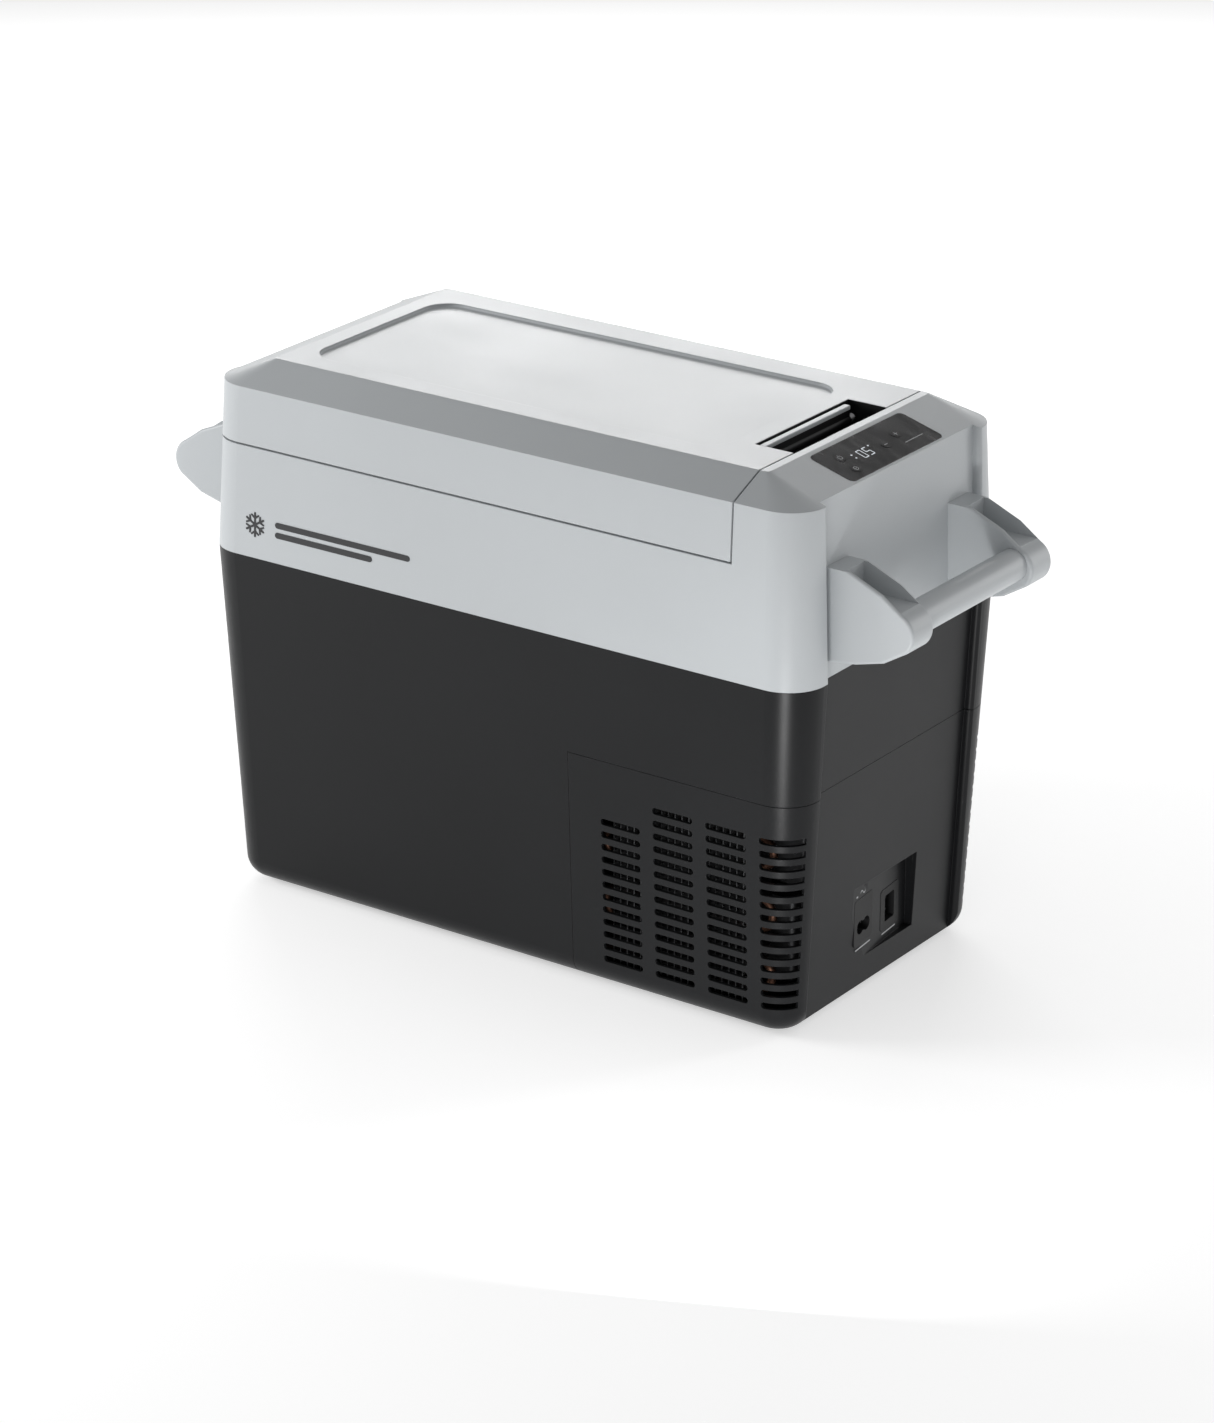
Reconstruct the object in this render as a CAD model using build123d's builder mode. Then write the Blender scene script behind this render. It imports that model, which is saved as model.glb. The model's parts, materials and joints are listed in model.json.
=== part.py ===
from build123d import *

import os
from math import atan2, cos, radians, sin

# A chest-type cooler with its own compressor.
# X runs along the length, with the control panel at +X; the front faces -Y; Z is up from the floor.

# Overall form: height, half length, half depth and corner radius of the tapered outline
outline_levels = (
    (3.0, 256.0, 128.4, 24.3),
    (277.1, 270.1, 139.6, 30.4),
    (408.5, 265.6, 133.2, 30.0),
)
body_bottom = 3.0
colour_seam = 277.1
chamfer_base = 408.5
top_height = 423.0
top_left, top_right = -228.0, 215.0
top_front, top_back = -100.0, 113.5
top_corner_radius = 3.0
wall = 3.0
bottom_radius = 18.0
clearance = 0.4
touch = 0.1

# Flat recess down the middle of both ends, between the rounded corner posts
recess_half_width = 102.0
recess_depth = 6.5
recess_edge_radius = 4.0
recess_edge_relief = 0.2

# Split between the cabinet and the lid
rim_height = 363.25
lid_bottom = 364.75
lid_end = 206.75
fixed_end_start = 208.25
deck_underside = 359.25
lid_roof = 5.5

# Food compartment: one deep well, and one shallow well over the machine bay
liner_wall = 2.0
liner_left, liner_step, liner_right = -217.0, 24.0, 184.0
liner_half_depth = 100.0
liner_corner = 18.0
deep_floor = 46.0
shallow_floor = 220.0
liner_flange = 6.0
liner_flange_thickness = 2.0

# Machine bay and its cover
bay_start = 66.5
bay_top = 187.5

# Lid: shallow tray on top, plug into the compartment, gasket
tray_left, tray_right, tray_front, tray_back = -212.5, 158.0, -80.0, 87.0
tray_corner = 22.0
tray_depth = 2.5
plug_bottom = 354.0
plug_left, plug_right, plug_half_depth = -207.0, 174.0, 90.0
plug_wall = 2.5
gasket_left, gasket_right, gasket_half_depth, gasket_width = -233.0, 200.0, 116.0, 8.0

# Latch in the lid, beside the fixed end
latch_left = 174.0
latch_front, latch_back = -56.0, 67.0
latch_floor = 377.5
latch_undercut = 8.0
latch_pocket_wall = 2.5
lever_x, lever_pivot_height = 179.5, 411.0
latch_pin_radius = 2.0
running_gap = 0.05

# Hinge at the left end
hinge_x, hinge_height = -269.5, 364.0
hinge_barrel_radius = 5.0
hinge_pin_radius = 2.0
hinge_centres = (-38.0, 38.0)
knuckle_length = 11.0
knuckle_gap = 0.5

# Handles, one on each end
arm_inner, arm_outer = 67.0, 95.0
handle_bar_x, handle_bar_height, handle_bar_radius = 316.5, 324.5, 12.3
bar_insert = 12.0
arm_pocket_start, arm_pocket_floor = 276.0, 338.5
arm_pocket_inner, arm_pocket_outer = 69.5, 92.8
handle_screw_radius = 2.5
handle_screw_places = ((-81.0, 300.0), (-81.0, 328.0), (81.0, 300.0), (81.0, 328.0))

# Control panel on the right-hand chamfer
panel_centre_y = 5.5
panel_length, panel_width = 122.0, 39.5
panel_from_ridge = 4.0
panel_thickness = 1.5
button_radius = 4.5

# Air slots
slot_length, slot_height = 35.0, 5.2
slot_pitch_z = 10.13
slot_rows = 14
first_slot_height = 27.1
slot_columns = (94.8, 141.0, 187.2)
corner_slot_start = 233.3
corner_slot_angle = 68.0

# Power inlet pocket on the right-hand end
pocket_low, pocket_high = 29.0, 89.5
pocket_shallow_y, pocket_deep_y = -38.0, 48.0
pocket_depth = 8.0


def outline(height):
    """Half length, half depth and corner radius of the body at a height."""
    for low, high in zip(outline_levels, outline_levels[1:]):
        if height <= high[0]:
            break
    share = (height - low[0]) / (high[0] - low[0])
    return [a + share * (b - a) for a, b in zip(low[1:], high[1:])]


def tapered_block(low, high, inset=0.0, rounding=0.0):
    """The body's outline between two heights, moved inwards, with a rounded bottom edge."""
    with BuildPart() as block:
        for start, stop in level_pairs(low, high):
            for height in (start, stop):
                half_length, half_depth, radius = outline(height)
                with BuildSketch(Plane.XY.offset(height)):
                    RectangleRounded(2 * (half_length - inset), 2 * (half_depth - inset), radius - inset)
            loft(ruled=True)
        if rounding > 0:
            fillet(block.faces().sort_by(Axis.Z)[0].edges(), rounding)
    return block.part


def recess_section(height, inset=0.0, drop=0.0):
    """Level section of what the right-hand recess takes away; outside, it rounds the posts' edges."""
    half_length = outline(height)[0] - inset
    side = recess_half_width + inset
    rounding = recess_edge_radius
    arc_x = half_length - rounding + recess_edge_relief
    with BuildSketch(Plane.XY.offset(height - drop)) as section:
        with Locations((half_length - recess_depth, 0)):
            Rectangle(60, 2 * side, align=(Align.MIN, Align.CENTER))
        if inset == 0:
            with Locations((arc_x, 0)):
                Rectangle(60, 2 * (side + rounding), align=(Align.MIN, Align.CENTER))
            with Locations((arc_x, side + rounding), (arc_x, -side - rounding)):
                Circle(rounding, mode=Mode.SUBTRACT)
    return section.sketch


def level_pairs(low, high):
    """The heights between which the body tapers evenly."""
    middle = [level[0] for level in outline_levels if low < level[0] < high]
    heights = [low] + middle + [high]
    return list(zip(heights, heights[1:]))


def end_recesses(low, high, inset=0.0):
    """What the recess at each end takes away."""
    with BuildPart() as recesses:
        for start, stop in level_pairs(low, high):
            loft([recess_section(start, inset), recess_section(stop, inset)], ruled=True)
        mirror(about=Plane.YZ)
    return recesses.part


def body_form(low, high, inset=0.0, rounding=0.0):
    """The body between two heights, with its end recesses."""
    with BuildPart() as form:
        add(tapered_block(low, high, inset, rounding=rounding))
        add(end_recesses(low, high, inset), mode=Mode.SUBTRACT)
    return form.part


def top_recesses(inset, drop):
    """What the end recesses take away from the chamfered top."""
    with BuildPart() as recesses:
        extrude(recess_section(chamfer_base, inset, drop), amount=top_height - chamfer_base)
        mirror(about=Plane.YZ)
    return recesses.part


def top_form(inset=0.0, drop=0.0):
    """The chamfered top, moved inwards and down."""
    half_length, half_depth, radius = outline(chamfer_base)
    with BuildPart() as form:
        with BuildSketch(Plane.XY.offset(chamfer_base - drop)):
            RectangleRounded(2 * (half_length - inset), 2 * (half_depth - inset), radius - inset)
        with BuildSketch(Plane.XY.offset(top_height - drop)):
            with Locations(((top_left + top_right) / 2, (top_front + top_back) / 2)):
                RectangleRounded(
                    top_right - top_left - inset, top_back - top_front - inset, top_corner_radius
                )
        loft(ruled=True)
        add(top_recesses(inset, drop), mode=Mode.SUBTRACT)
    return form.part


def box_between(low, high):
    """A box from one corner to the opposite one."""
    with BuildPart() as block:
        with BuildSketch(Plane.XY.offset(low[2])):
            with Locations(((low[0] + high[0]) / 2, (low[1] + high[1]) / 2)):
                Rectangle(high[0] - low[0], high[1] - low[1])
        extrude(amount=high[2] - low[2])
    return block.part


def rounded_block(left, right, front, back, low, high, radius):
    """An upright block with rounded vertical edges."""
    with BuildPart() as block:
        with BuildSketch(Plane.XY.offset(low)):
            with Locations(((left + right) / 2, (front + back) / 2)):
                RectangleRounded(right - left, back - front, radius)
        extrude(amount=high - low)
    return block.part


def right_of(x, solid):
    """The part of a solid at larger X."""
    with BuildPart() as piece:
        add(solid)
        split(bisect_by=Plane.YZ.offset(x), keep=Keep.TOP)
    return piece.part


def left_of(x, solid):
    """The part of a solid at smaller X."""
    with BuildPart() as piece:
        add(solid)
        split(bisect_by=Plane.YZ.offset(x), keep=Keep.BOTTOM)
    return piece.part


def tube(points, radius, bends):
    """A round tube or rod along straight runs joined by arcs."""
    with BuildPart() as pipe:
        with BuildLine() as path:
            FilletPolyline(*points, radius=bends)
        with BuildSketch(Plane(origin=path.line @ 0, z_dir=path.line % 0)):
            Circle(radius)
        sweep()
    return pipe.part


def save(name, part):
    """Label a piece and write its STEP file."""
    part.label = name
    export_step(part, f"parts/{name}.step")


foot_x, foot_y = 215.0, 92.0
foot_radius, foot_peg_radius = 13.0, 4.0

# ---------------------------------------------------------------- casing

with BuildPart() as lower_shell:
    add(body_form(body_bottom, colour_seam, rounding=bottom_radius))
    add(body_form(body_bottom + wall, colour_seam, wall, bottom_radius - wall), mode=Mode.SUBTRACT)
    add(
        box_between((bay_start, -200, body_bottom - 1), (300, 200, bay_top)),
        mode=Mode.SUBTRACT,
    )
    bulkhead_outline = body_form(body_bottom, bay_top + wall, rounding=bottom_radius)
    add(left_of(bay_start, right_of(bay_start - wall, bulkhead_outline)))
    add(right_of(bay_start - wall, body_form(bay_top, bay_top + wall)))
    with BuildSketch(Plane.XY.offset(body_bottom)):
        with Locations((-foot_x, -foot_y), (-foot_x, foot_y)):
            Circle(foot_peg_radius + running_gap)
    extrude(amount=wall, mode=Mode.SUBTRACT)
save("lower_shell", lower_shell.part)


def liner_outer(low_deep, low_shallow, high, grow=0.0):
    """The two wells as one solid, to the liner's outside plus a gap."""
    sides = (-liner_half_depth - grow, liner_half_depth + grow)
    with BuildPart() as wells:
        add(
            rounded_block(
                liner_left - grow, liner_step + grow, *sides, low_deep - grow, high, liner_corner + grow
            )
        )
        add(
            rounded_block(
                liner_left - grow, liner_right + grow, *sides, low_shallow - grow, high, liner_corner + grow
            )
        )
    return wells.part


def liner_flange_block(low, high, grow=0.0):
    """The liner's flange as a full plate, which the wells then open."""
    reach = liner_flange + grow
    return rounded_block(
        liner_left - reach,
        liner_right + reach,
        -liner_half_depth - reach,
        liner_half_depth + reach,
        low,
        high,
        liner_corner + reach,
    )


# Control panel frame: local x along +Y, local y up the slope towards the ridge, z out of the surface
recess_edge_x = outline(chamfer_base)[0]
panel_slope = atan2(top_height - chamfer_base, recess_edge_x - top_right)
panel_plane = Plane(
    origin=(top_right, panel_centre_y, top_height),
    x_dir=(0, 1, 0),
    z_dir=(sin(panel_slope), 0, cos(panel_slope)),
)
panel_middle = -(panel_from_ridge + panel_width / 2)
# Button places along the panel and up the slope from its middle
button_places = {
    "power_button": (-40.0, 6.0),
    "set_button": (-42.0, -9.5),
    "minus_button": (9.0, -2.0),
    "plus_button": (29.0, 3.0),
}

with BuildPart() as upper_shell:
    add(body_form(colour_seam, rim_height))
    add(body_form(colour_seam, deck_underside, wall), mode=Mode.SUBTRACT)
    add(right_of(fixed_end_start, body_form(rim_height, chamfer_base)))
    add(right_of(fixed_end_start, top_form()))
    add(
        right_of(fixed_end_start + wall, body_form(deck_underside, chamfer_base - wall, wall)),
        mode=Mode.SUBTRACT,
    )
    add(right_of(fixed_end_start + wall, top_form(wall, wall)), mode=Mode.SUBTRACT)
    add(
        liner_outer(deck_underside - 5, deck_underside - 5, rim_height, 0.2),
        mode=Mode.SUBTRACT,
    )
    add(
        liner_flange_block(rim_height - liner_flange_thickness, rim_height, 0.2),
        mode=Mode.SUBTRACT,
    )
    with BuildSketch(panel_plane):
        with Locations((0, panel_middle)):
            RectangleRounded(panel_length + 0.3, panel_width + 0.3, 5)
    extrude(amount=-panel_thickness, mode=Mode.SUBTRACT)
    with BuildSketch(panel_plane.offset(-panel_thickness)):
        with Locations((0, panel_middle)):
            RectangleRounded(panel_length - 8, panel_width - 7, 3)
    extrude(amount=-4, mode=Mode.SUBTRACT)
    with BuildSketch(Plane.YZ.offset(-290)):
        with Locations(*handle_screw_places):
            Circle(handle_screw_radius + running_gap)
    extrude(amount=580, mode=Mode.SUBTRACT)
save("upper_shell", upper_shell.part)

corner_y = -(outline(90)[1] - outline(90)[2])
corner_direction = (sin(radians(corner_slot_angle)), -cos(radians(corner_slot_angle)))
slot_heights = [first_slot_height + row * slot_pitch_z for row in range(slot_rows)]


def corner_slots(side):
    """Cutters for the column of slots that wraps round one corner post, -1 in front and 1 behind."""
    start_x = corner_slot_start + slot_height / 2
    end_x = start_x + 60 * corner_direction[0]
    end_y = corner_y + 60 * corner_direction[1]
    with BuildPart() as cutters:
        for height in slot_heights:
            with BuildSketch(Plane.XY.offset(height - slot_height / 2)):
                with BuildLine():
                    Polyline(
                        (start_x, -side * corner_y),
                        (start_x, side * 160),
                        (end_x, side * 160),
                        (end_x, -side * end_y),
                        close=True,
                    )
                make_face()
            extrude(amount=slot_height)
        with BuildSketch(Plane.XZ.offset(-side * 105)):
            with Locations(*[(start_x, height) for height in slot_heights]):
                Circle(slot_height / 2)
        extrude(amount=-side * 50)
    return cutters.part


def front_slots(side):
    """Cutters for the straight columns of slots, -1 in front and 1 behind."""
    with BuildPart() as cutters:
        with BuildSketch(Plane.XZ.offset(-side * 100)):
            for column, start in enumerate(slot_columns):
                rows = slot_heights[:-2] if column == 0 else slot_heights
                with Locations(*[(start + slot_length / 2, height) for height in rows]):
                    SlotOverall(slot_length, slot_height)
        extrude(amount=-side * 60)
    return cutters.part


pocket_face_x = outline((pocket_low + pocket_high) / 2)[0] - recess_depth
pocket_back_x = pocket_face_x - pocket_depth - wall
ramp_angle = atan2(pocket_depth, pocket_deep_y - pocket_shallow_y)
# Ramp frame: local x along the ramp towards the back, local y up, z out of the ramp
ramp_plane = Plane(
    origin=(pocket_face_x, pocket_shallow_y, 0),
    x_dir=(-sin(ramp_angle), cos(ramp_angle), 0),
    z_dir=(cos(ramp_angle), sin(ramp_angle), 0),
)
ac_centre = (17.5, 59.5)
ac_size = (29.0, 37.0)
dc_centre = (60.0, 53.5)
dc_size = (29.0, 33.0)
inlet_rim = 1.0
base_screw_places = ((100, -103), (200, -103), (100, 103), (200, 103))
base_screw_radius = 1.7
boss_inner, boss_outer = 98.5, 126.5
boss_width, boss_height = 9.0, 12.0



def screw_bosses():
    """Ribs inside the cover that the base screws enter, cut to the cover's rounded outside."""
    middle = (boss_inner + boss_outer) / 2
    with BuildPart() as bosses:
        for x, y in base_screw_places:
            side = 1 if y > 0 else -1
            with BuildSketch(Plane.XY.offset(body_bottom + wall + touch)):
                with Locations((x, side * middle)):
                    Rectangle(boss_width, boss_outer - boss_inner)
            extrude(amount=boss_height)
        skin = wall / 2
        inside = body_form(body_bottom + skin, bay_top, skin, bottom_radius - skin)
        add(inside, mode=Mode.INTERSECT)
    return bosses.part


with BuildPart() as machine_cover:
    cover_outline = body_form(body_bottom, bay_top - clearance, rounding=bottom_radius)
    add(right_of(bay_start + clearance, cover_outline))
    bay = body_form(body_bottom + wall, bay_top - clearance, wall, bottom_radius - wall)
    add(bay, mode=Mode.SUBTRACT)
    add(body_form(body_bottom, body_bottom + wall, bottom_radius), mode=Mode.SUBTRACT)
    add(
        box_between(
            (pocket_back_x, pocket_shallow_y - 6, pocket_low - wall),
            (pocket_face_x - 2, pocket_deep_y + wall, pocket_high + wall),
        )
    )
    with BuildSketch(Plane.XY.offset(pocket_low)):
        with BuildLine():
            Polyline(
                (pocket_face_x + 0.3, pocket_shallow_y),
                (pocket_face_x - pocket_depth, pocket_deep_y),
                (pocket_face_x + 20, pocket_deep_y),
                (pocket_face_x + 20, pocket_shallow_y),
                close=True,
            )
        make_face()
    extrude(amount=pocket_high - pocket_low, mode=Mode.SUBTRACT)
    with BuildSketch(ramp_plane.offset(-30)):
        with Locations(ac_centre):
            RectangleRounded(ac_size[0] - 4, ac_size[1] - 4, 2)
        with Locations(dc_centre):
            RectangleRounded(dc_size[0] - 4, dc_size[1] - 4, 2)
    extrude(amount=40, mode=Mode.SUBTRACT)
    with BuildSketch(ramp_plane.offset(-inlet_rim)):
        with Locations(ac_centre):
            RectangleRounded(ac_size[0] + 0.2, ac_size[1] + 0.2, 3)
        with Locations(dc_centre):
            RectangleRounded(dc_size[0] + 0.2, dc_size[1] + 0.2, 3)
    extrude(amount=20, mode=Mode.SUBTRACT)
    for side in (-1, 1):
        add(front_slots(side), mode=Mode.SUBTRACT)
        add(corner_slots(side), mode=Mode.SUBTRACT)
    add(screw_bosses())
    with BuildSketch(Plane.XY.offset(body_bottom + wall)):
        with Locations(*base_screw_places):
            Circle(base_screw_radius + running_gap)
    extrude(amount=10, mode=Mode.SUBTRACT)
save("machine_cover", machine_cover.part)


with BuildPart() as base_plate:
    plate_outline = body_form(body_bottom, body_bottom + wall, bottom_radius + clearance)
    add(right_of(bay_start + 0.8, plate_outline))
    with BuildSketch(Plane.XY.offset(body_bottom)):
        with Locations((foot_x, -foot_y), (foot_x, foot_y)):
            Circle(foot_peg_radius + running_gap)
        with Locations((125, -80), (165, -80), (125, 80), (165, 80)):
            SlotOverall(30, 6)
        with Locations(*base_screw_places):
            Circle(base_screw_radius + running_gap)
    extrude(amount=wall, mode=Mode.SUBTRACT)
save("base_plate", base_plate.part)

with BuildPart() as rubber_feet:
    with BuildSketch(Plane.XY):
        with GridLocations(2 * foot_x, 2 * foot_y, 2, 2):
            Circle(foot_radius)
    extrude(amount=body_bottom)
    chamfer(rubber_feet.faces().sort_by(Axis.Z)[0:4].edges(), 0.8)
    with BuildSketch(Plane.XY.offset(body_bottom)):
        with GridLocations(2 * foot_x, 2 * foot_y, 2, 2):
            Circle(foot_peg_radius)
    extrude(amount=wall)
save("rubber_feet", rubber_feet.part)

# ---------------------------------------------------------------- food compartment

with BuildPart() as inner_liner:
    add(liner_outer(deep_floor, shallow_floor, rim_height - liner_flange_thickness))
    add(liner_flange_block(rim_height - liner_flange_thickness, rim_height))
    sides = (-liner_half_depth + liner_wall, liner_half_depth - liner_wall)
    inner_corner = liner_corner - liner_wall
    for right, floor in ((liner_step, deep_floor), (liner_right, shallow_floor)):
        well = rounded_block(
            liner_left + liner_wall,
            right - liner_wall,
            *sides,
            floor + liner_wall,
            rim_height,
            inner_corner,
        )
        add(well, mode=Mode.SUBTRACT)
save("inner_liner", inner_liner.part)

evaporator_radius = 4.0
evaporator_pitch = 26.0
evaporator_turns = 5
evaporator_start = 74.0
evaporator_gap = evaporator_radius + 0.2
evaporator_points = [(liner_left - evaporator_gap, 0, evaporator_start)]
for turn in range(evaporator_turns):
    level = evaporator_start + turn * evaporator_pitch
    front, back = (-liner_half_depth - evaporator_gap, liner_half_depth + evaporator_gap)
    left, right = (liner_left - evaporator_gap, liner_step + evaporator_gap)
    evaporator_points += [
        (left, front, level),
        (right, front, level + evaporator_pitch / 2),
        (right, back, level + evaporator_pitch / 2),
        (left, back, level + evaporator_pitch),
    ]
evaporator_points += [(left, 0, level + evaporator_pitch)]
save("evaporator_tube", tube(evaporator_points, evaporator_radius, liner_corner + evaporator_gap))

screw_head_length = 4.0


def screw(radius, head_radius, length, head_length=screw_head_length):
    """A pan-head screw, its head's seat at the origin and its shank along -Z."""
    with BuildPart() as fastener:
        with BuildSketch(Plane.XY):
            Circle(head_radius)
        extrude(amount=head_length)
        chamfer(fastener.faces().sort_by(Axis.Z)[-1].edges(), head_length * 0.25)
        with BuildSketch(Plane.XY):
            Circle(radius)
        extrude(amount=-length)
        with BuildSketch(Plane.XY.offset(head_length)):
            RegularPolygon(head_radius * 0.5, 6)
        extrude(amount=-head_length * 0.5, mode=Mode.SUBTRACT)
    return fastener.part


def seat_x(height):
    """X of the inside face of the right-hand end wall, behind the recess."""
    return outline(height)[0] - recess_depth - wall


with BuildPart() as body_foam:
    foam_inset = wall + touch
    add(
        body_form(
            body_bottom + foam_inset, deck_underside - touch, foam_inset, bottom_radius - foam_inset
        )
    )
    add(
        box_between((bay_start - wall - touch, -200, 0), (300, 200, bay_top + wall + touch)),
        mode=Mode.SUBTRACT,
    )
    add(liner_outer(deep_floor, shallow_floor, 400, touch), mode=Mode.SUBTRACT)
    add(
        rounded_block(
            liner_left - 2 * evaporator_gap,
            liner_step + 2 * evaporator_gap,
            -liner_half_depth - 2 * evaporator_gap,
            liner_half_depth + 2 * evaporator_gap,
            evaporator_start - 6,
            evaporator_start + evaporator_turns * evaporator_pitch + 6,
            liner_corner + 2 * evaporator_gap,
        ),
        mode=Mode.SUBTRACT,
    )
    for side in (-1, 1):
        for y, height in handle_screw_places:
            with BuildSketch(Plane(origin=(side * seat_x(height), y, height), z_dir=(-side, 0, 0))):
                Circle(6)
            extrude(amount=7, mode=Mode.SUBTRACT)
save("body_foam", body_foam.part)

with BuildPart() as temperature_sensor:
    sensor_plane = Plane(origin=(liner_step - liner_wall, 0, 150), z_dir=(-1, 0, 0))
    with BuildSketch(sensor_plane):
        RectangleRounded(22, 34, 5)
    extrude(amount=6)
    fillet(temperature_sensor.faces().sort_by(Axis.X)[0].edges(), 2)
save("temperature_sensor", temperature_sensor.part)

# ---------------------------------------------------------------- lid

latch_pocket = (
    (latch_left - latch_undercut, latch_front, latch_floor),
    (lid_end + 2, latch_back, top_height - lid_roof - 0.5),
)
pocket_shell_low = (
    latch_pocket[0][0] - latch_pocket_wall,
    latch_front - latch_pocket_wall,
    latch_floor - latch_pocket_wall,
)
pocket_shell_high = (lid_end - 1, latch_back + latch_pocket_wall, top_height - lid_roof + 1)


def lid_cavity(low, inset, drop):
    """The space inside the lid's walls, above a height."""
    with BuildPart() as cavity:
        add(body_form(low, chamfer_base - drop, inset))
        add(top_form(inset, drop))
        split(bisect_by=Plane.YZ.offset(lid_end - inset), keep=Keep.BOTTOM)
    return cavity.part


with BuildPart() as lid_shell:
    add(left_of(lid_end, body_form(lid_bottom, chamfer_base)))
    add(left_of(lid_end, top_form()))
    add(lid_cavity(lid_bottom, wall, lid_roof), mode=Mode.SUBTRACT)
    add(box_between(pocket_shell_low, pocket_shell_high))
    add(box_between(*latch_pocket), mode=Mode.SUBTRACT)
    with BuildSketch(Plane.XY.offset(latch_floor)):
        with BuildLine():
            Polyline(
                (latch_left, latch_front),
                (lid_end + 2, latch_front),
                (lid_end + 2, latch_back),
                (latch_left, latch_back),
                close=True,
            )
        make_face()
    extrude(amount=top_height - latch_floor + 1, mode=Mode.SUBTRACT)
    add(
        rounded_block(
            tray_left,
            tray_right,
            tray_front,
            tray_back,
            top_height - tray_depth,
            top_height + 1,
            tray_corner,
        ),
        mode=Mode.SUBTRACT,
    )
    tray_edges = lid_shell.faces().filter_by(Axis.Z).filter_by_position(
        Axis.Z, top_height - tray_depth - 0.1, top_height - tray_depth + 0.1
    )
    fillet(tray_edges.edges(), tray_depth * 0.6)
    pin_line = Plane(origin=(lever_x, latch_front, lever_pivot_height), z_dir=(0, 1, 0))
    with BuildSketch(pin_line.offset(-latch_pocket_wall - 1)):
        Circle(latch_pin_radius + running_gap)
    extrude(amount=latch_back - latch_front + 2 * latch_pocket_wall + 2, mode=Mode.SUBTRACT)
save("lid_shell", lid_shell.part)

with BuildPart() as lid_liner:
    add(left_of(lid_end - wall - touch, body_form(lid_bottom, lid_bottom + plug_wall, wall + touch)))
    add(
        rounded_block(
            plug_left,
            plug_right,
            -plug_half_depth,
            plug_half_depth,
            plug_bottom,
            lid_bottom + plug_wall,
            12,
        )
    )
    fillet(lid_liner.faces().sort_by(Axis.Z)[0].edges(), 4)
    add(
        rounded_block(
            plug_left + plug_wall,
            plug_right - plug_wall,
            -plug_half_depth + plug_wall,
            plug_half_depth - plug_wall,
            plug_bottom + plug_wall,
            lid_bottom + plug_wall + 1,
            10,
        ),
        mode=Mode.SUBTRACT,
    )
    with BuildSketch(Plane.XY.offset(lid_bottom)):
        with Locations(((gasket_left + gasket_right) / 2, 0)):
            RectangleRounded(gasket_right - gasket_left + 0.2, 2 * gasket_half_depth + 0.2, 24)
            RectangleRounded(
                gasket_right - gasket_left - 2 * gasket_width - 0.2,
                2 * (gasket_half_depth - gasket_width) - 0.2,
                24 - gasket_width,
                mode=Mode.SUBTRACT,
            )
    extrude(amount=1.2, mode=Mode.SUBTRACT)
save("lid_liner", lid_liner.part)

with BuildPart() as lid_gasket:
    with BuildSketch(Plane.XY.offset(rim_height + clearance)):
        with Locations(((gasket_left + gasket_right) / 2, 0)):
            RectangleRounded(gasket_right - gasket_left, 2 * gasket_half_depth, 24)
            RectangleRounded(
                gasket_right - gasket_left - 2 * gasket_width,
                2 * (gasket_half_depth - gasket_width),
                24 - gasket_width,
                mode=Mode.SUBTRACT,
            )
    extrude(amount=lid_bottom + 1.1 - rim_height - clearance)
    fillet(lid_gasket.faces().sort_by(Axis.Z)[0].edges(), 0.8)
save("lid_gasket", lid_gasket.part)

with BuildPart() as lid_foam:
    add(lid_cavity(lid_bottom + plug_wall + touch, wall + touch, lid_roof + touch))
    add(
        rounded_block(
            plug_left + plug_wall + touch,
            plug_right - plug_wall - touch,
            -plug_half_depth + plug_wall + touch,
            plug_half_depth - plug_wall - touch,
            plug_bottom + plug_wall + touch,
            lid_bottom + plug_wall + touch + 1,
            10,
        )
    )
    foam_gap = [value - touch for value in pocket_shell_low]
    add(box_between(foam_gap, (lid_end + 1, pocket_shell_high[1] + touch, 430)), mode=Mode.SUBTRACT)
save("lid_foam", lid_foam.part)

lever_front, lever_back = latch_front + 2, latch_back - 10
hook_front, hook_back = -6.0, 24.0
lever_top = 421.5
lever_bottom = 386.0

with BuildPart() as latch_lever:
    with BuildSketch(Plane.XZ.offset(-lever_front)):
        with BuildLine():
            Polyline(
                (lever_x - 2.5, lever_top),
                (lever_x + 2.5, lever_top),
                (lever_x + 2.5, 404),
                (lever_x + 1.2, 396),
                (lever_x + 2.5, lever_bottom),
                (lever_x - 1.5, lever_bottom),
                (lever_x - 2.0, 404),
                (lever_x - 2.5, 408),
                close=True,
            )
        make_face()
        with Locations((lever_x, lever_pivot_height)):
            Circle(4.0)
    extrude(amount=-(lever_back - lever_front))
    with BuildSketch(Plane.XZ.offset(-hook_front)):
        with BuildLine():
            Polyline(
                (lever_x + 2, lever_bottom),
                (205.0, lever_bottom),
                (205.0, lever_bottom + 3),
                (203.0, lever_bottom + 7),
                (200.0, lever_bottom + 7),
                (200.0, lever_bottom + 4),
                (lever_x + 2, lever_bottom + 5),
                close=True,
            )
        make_face()
    extrude(amount=-(hook_back - hook_front))
    with BuildSketch(Plane.XZ.offset(-lever_front)):
        with Locations((lever_x, lever_pivot_height)):
            Circle(latch_pin_radius + running_gap)
    extrude(amount=-(lever_back - lever_front), mode=Mode.SUBTRACT)
save("latch_lever", latch_lever.part)

with BuildPart() as latch_pin:
    with BuildSketch(pin_line.offset(-latch_pocket_wall + 0.2)):
        Circle(latch_pin_radius)
    extrude(amount=latch_back - latch_front + 2 * latch_pocket_wall - 0.4)
save("latch_pin", latch_pin.part)

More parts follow.
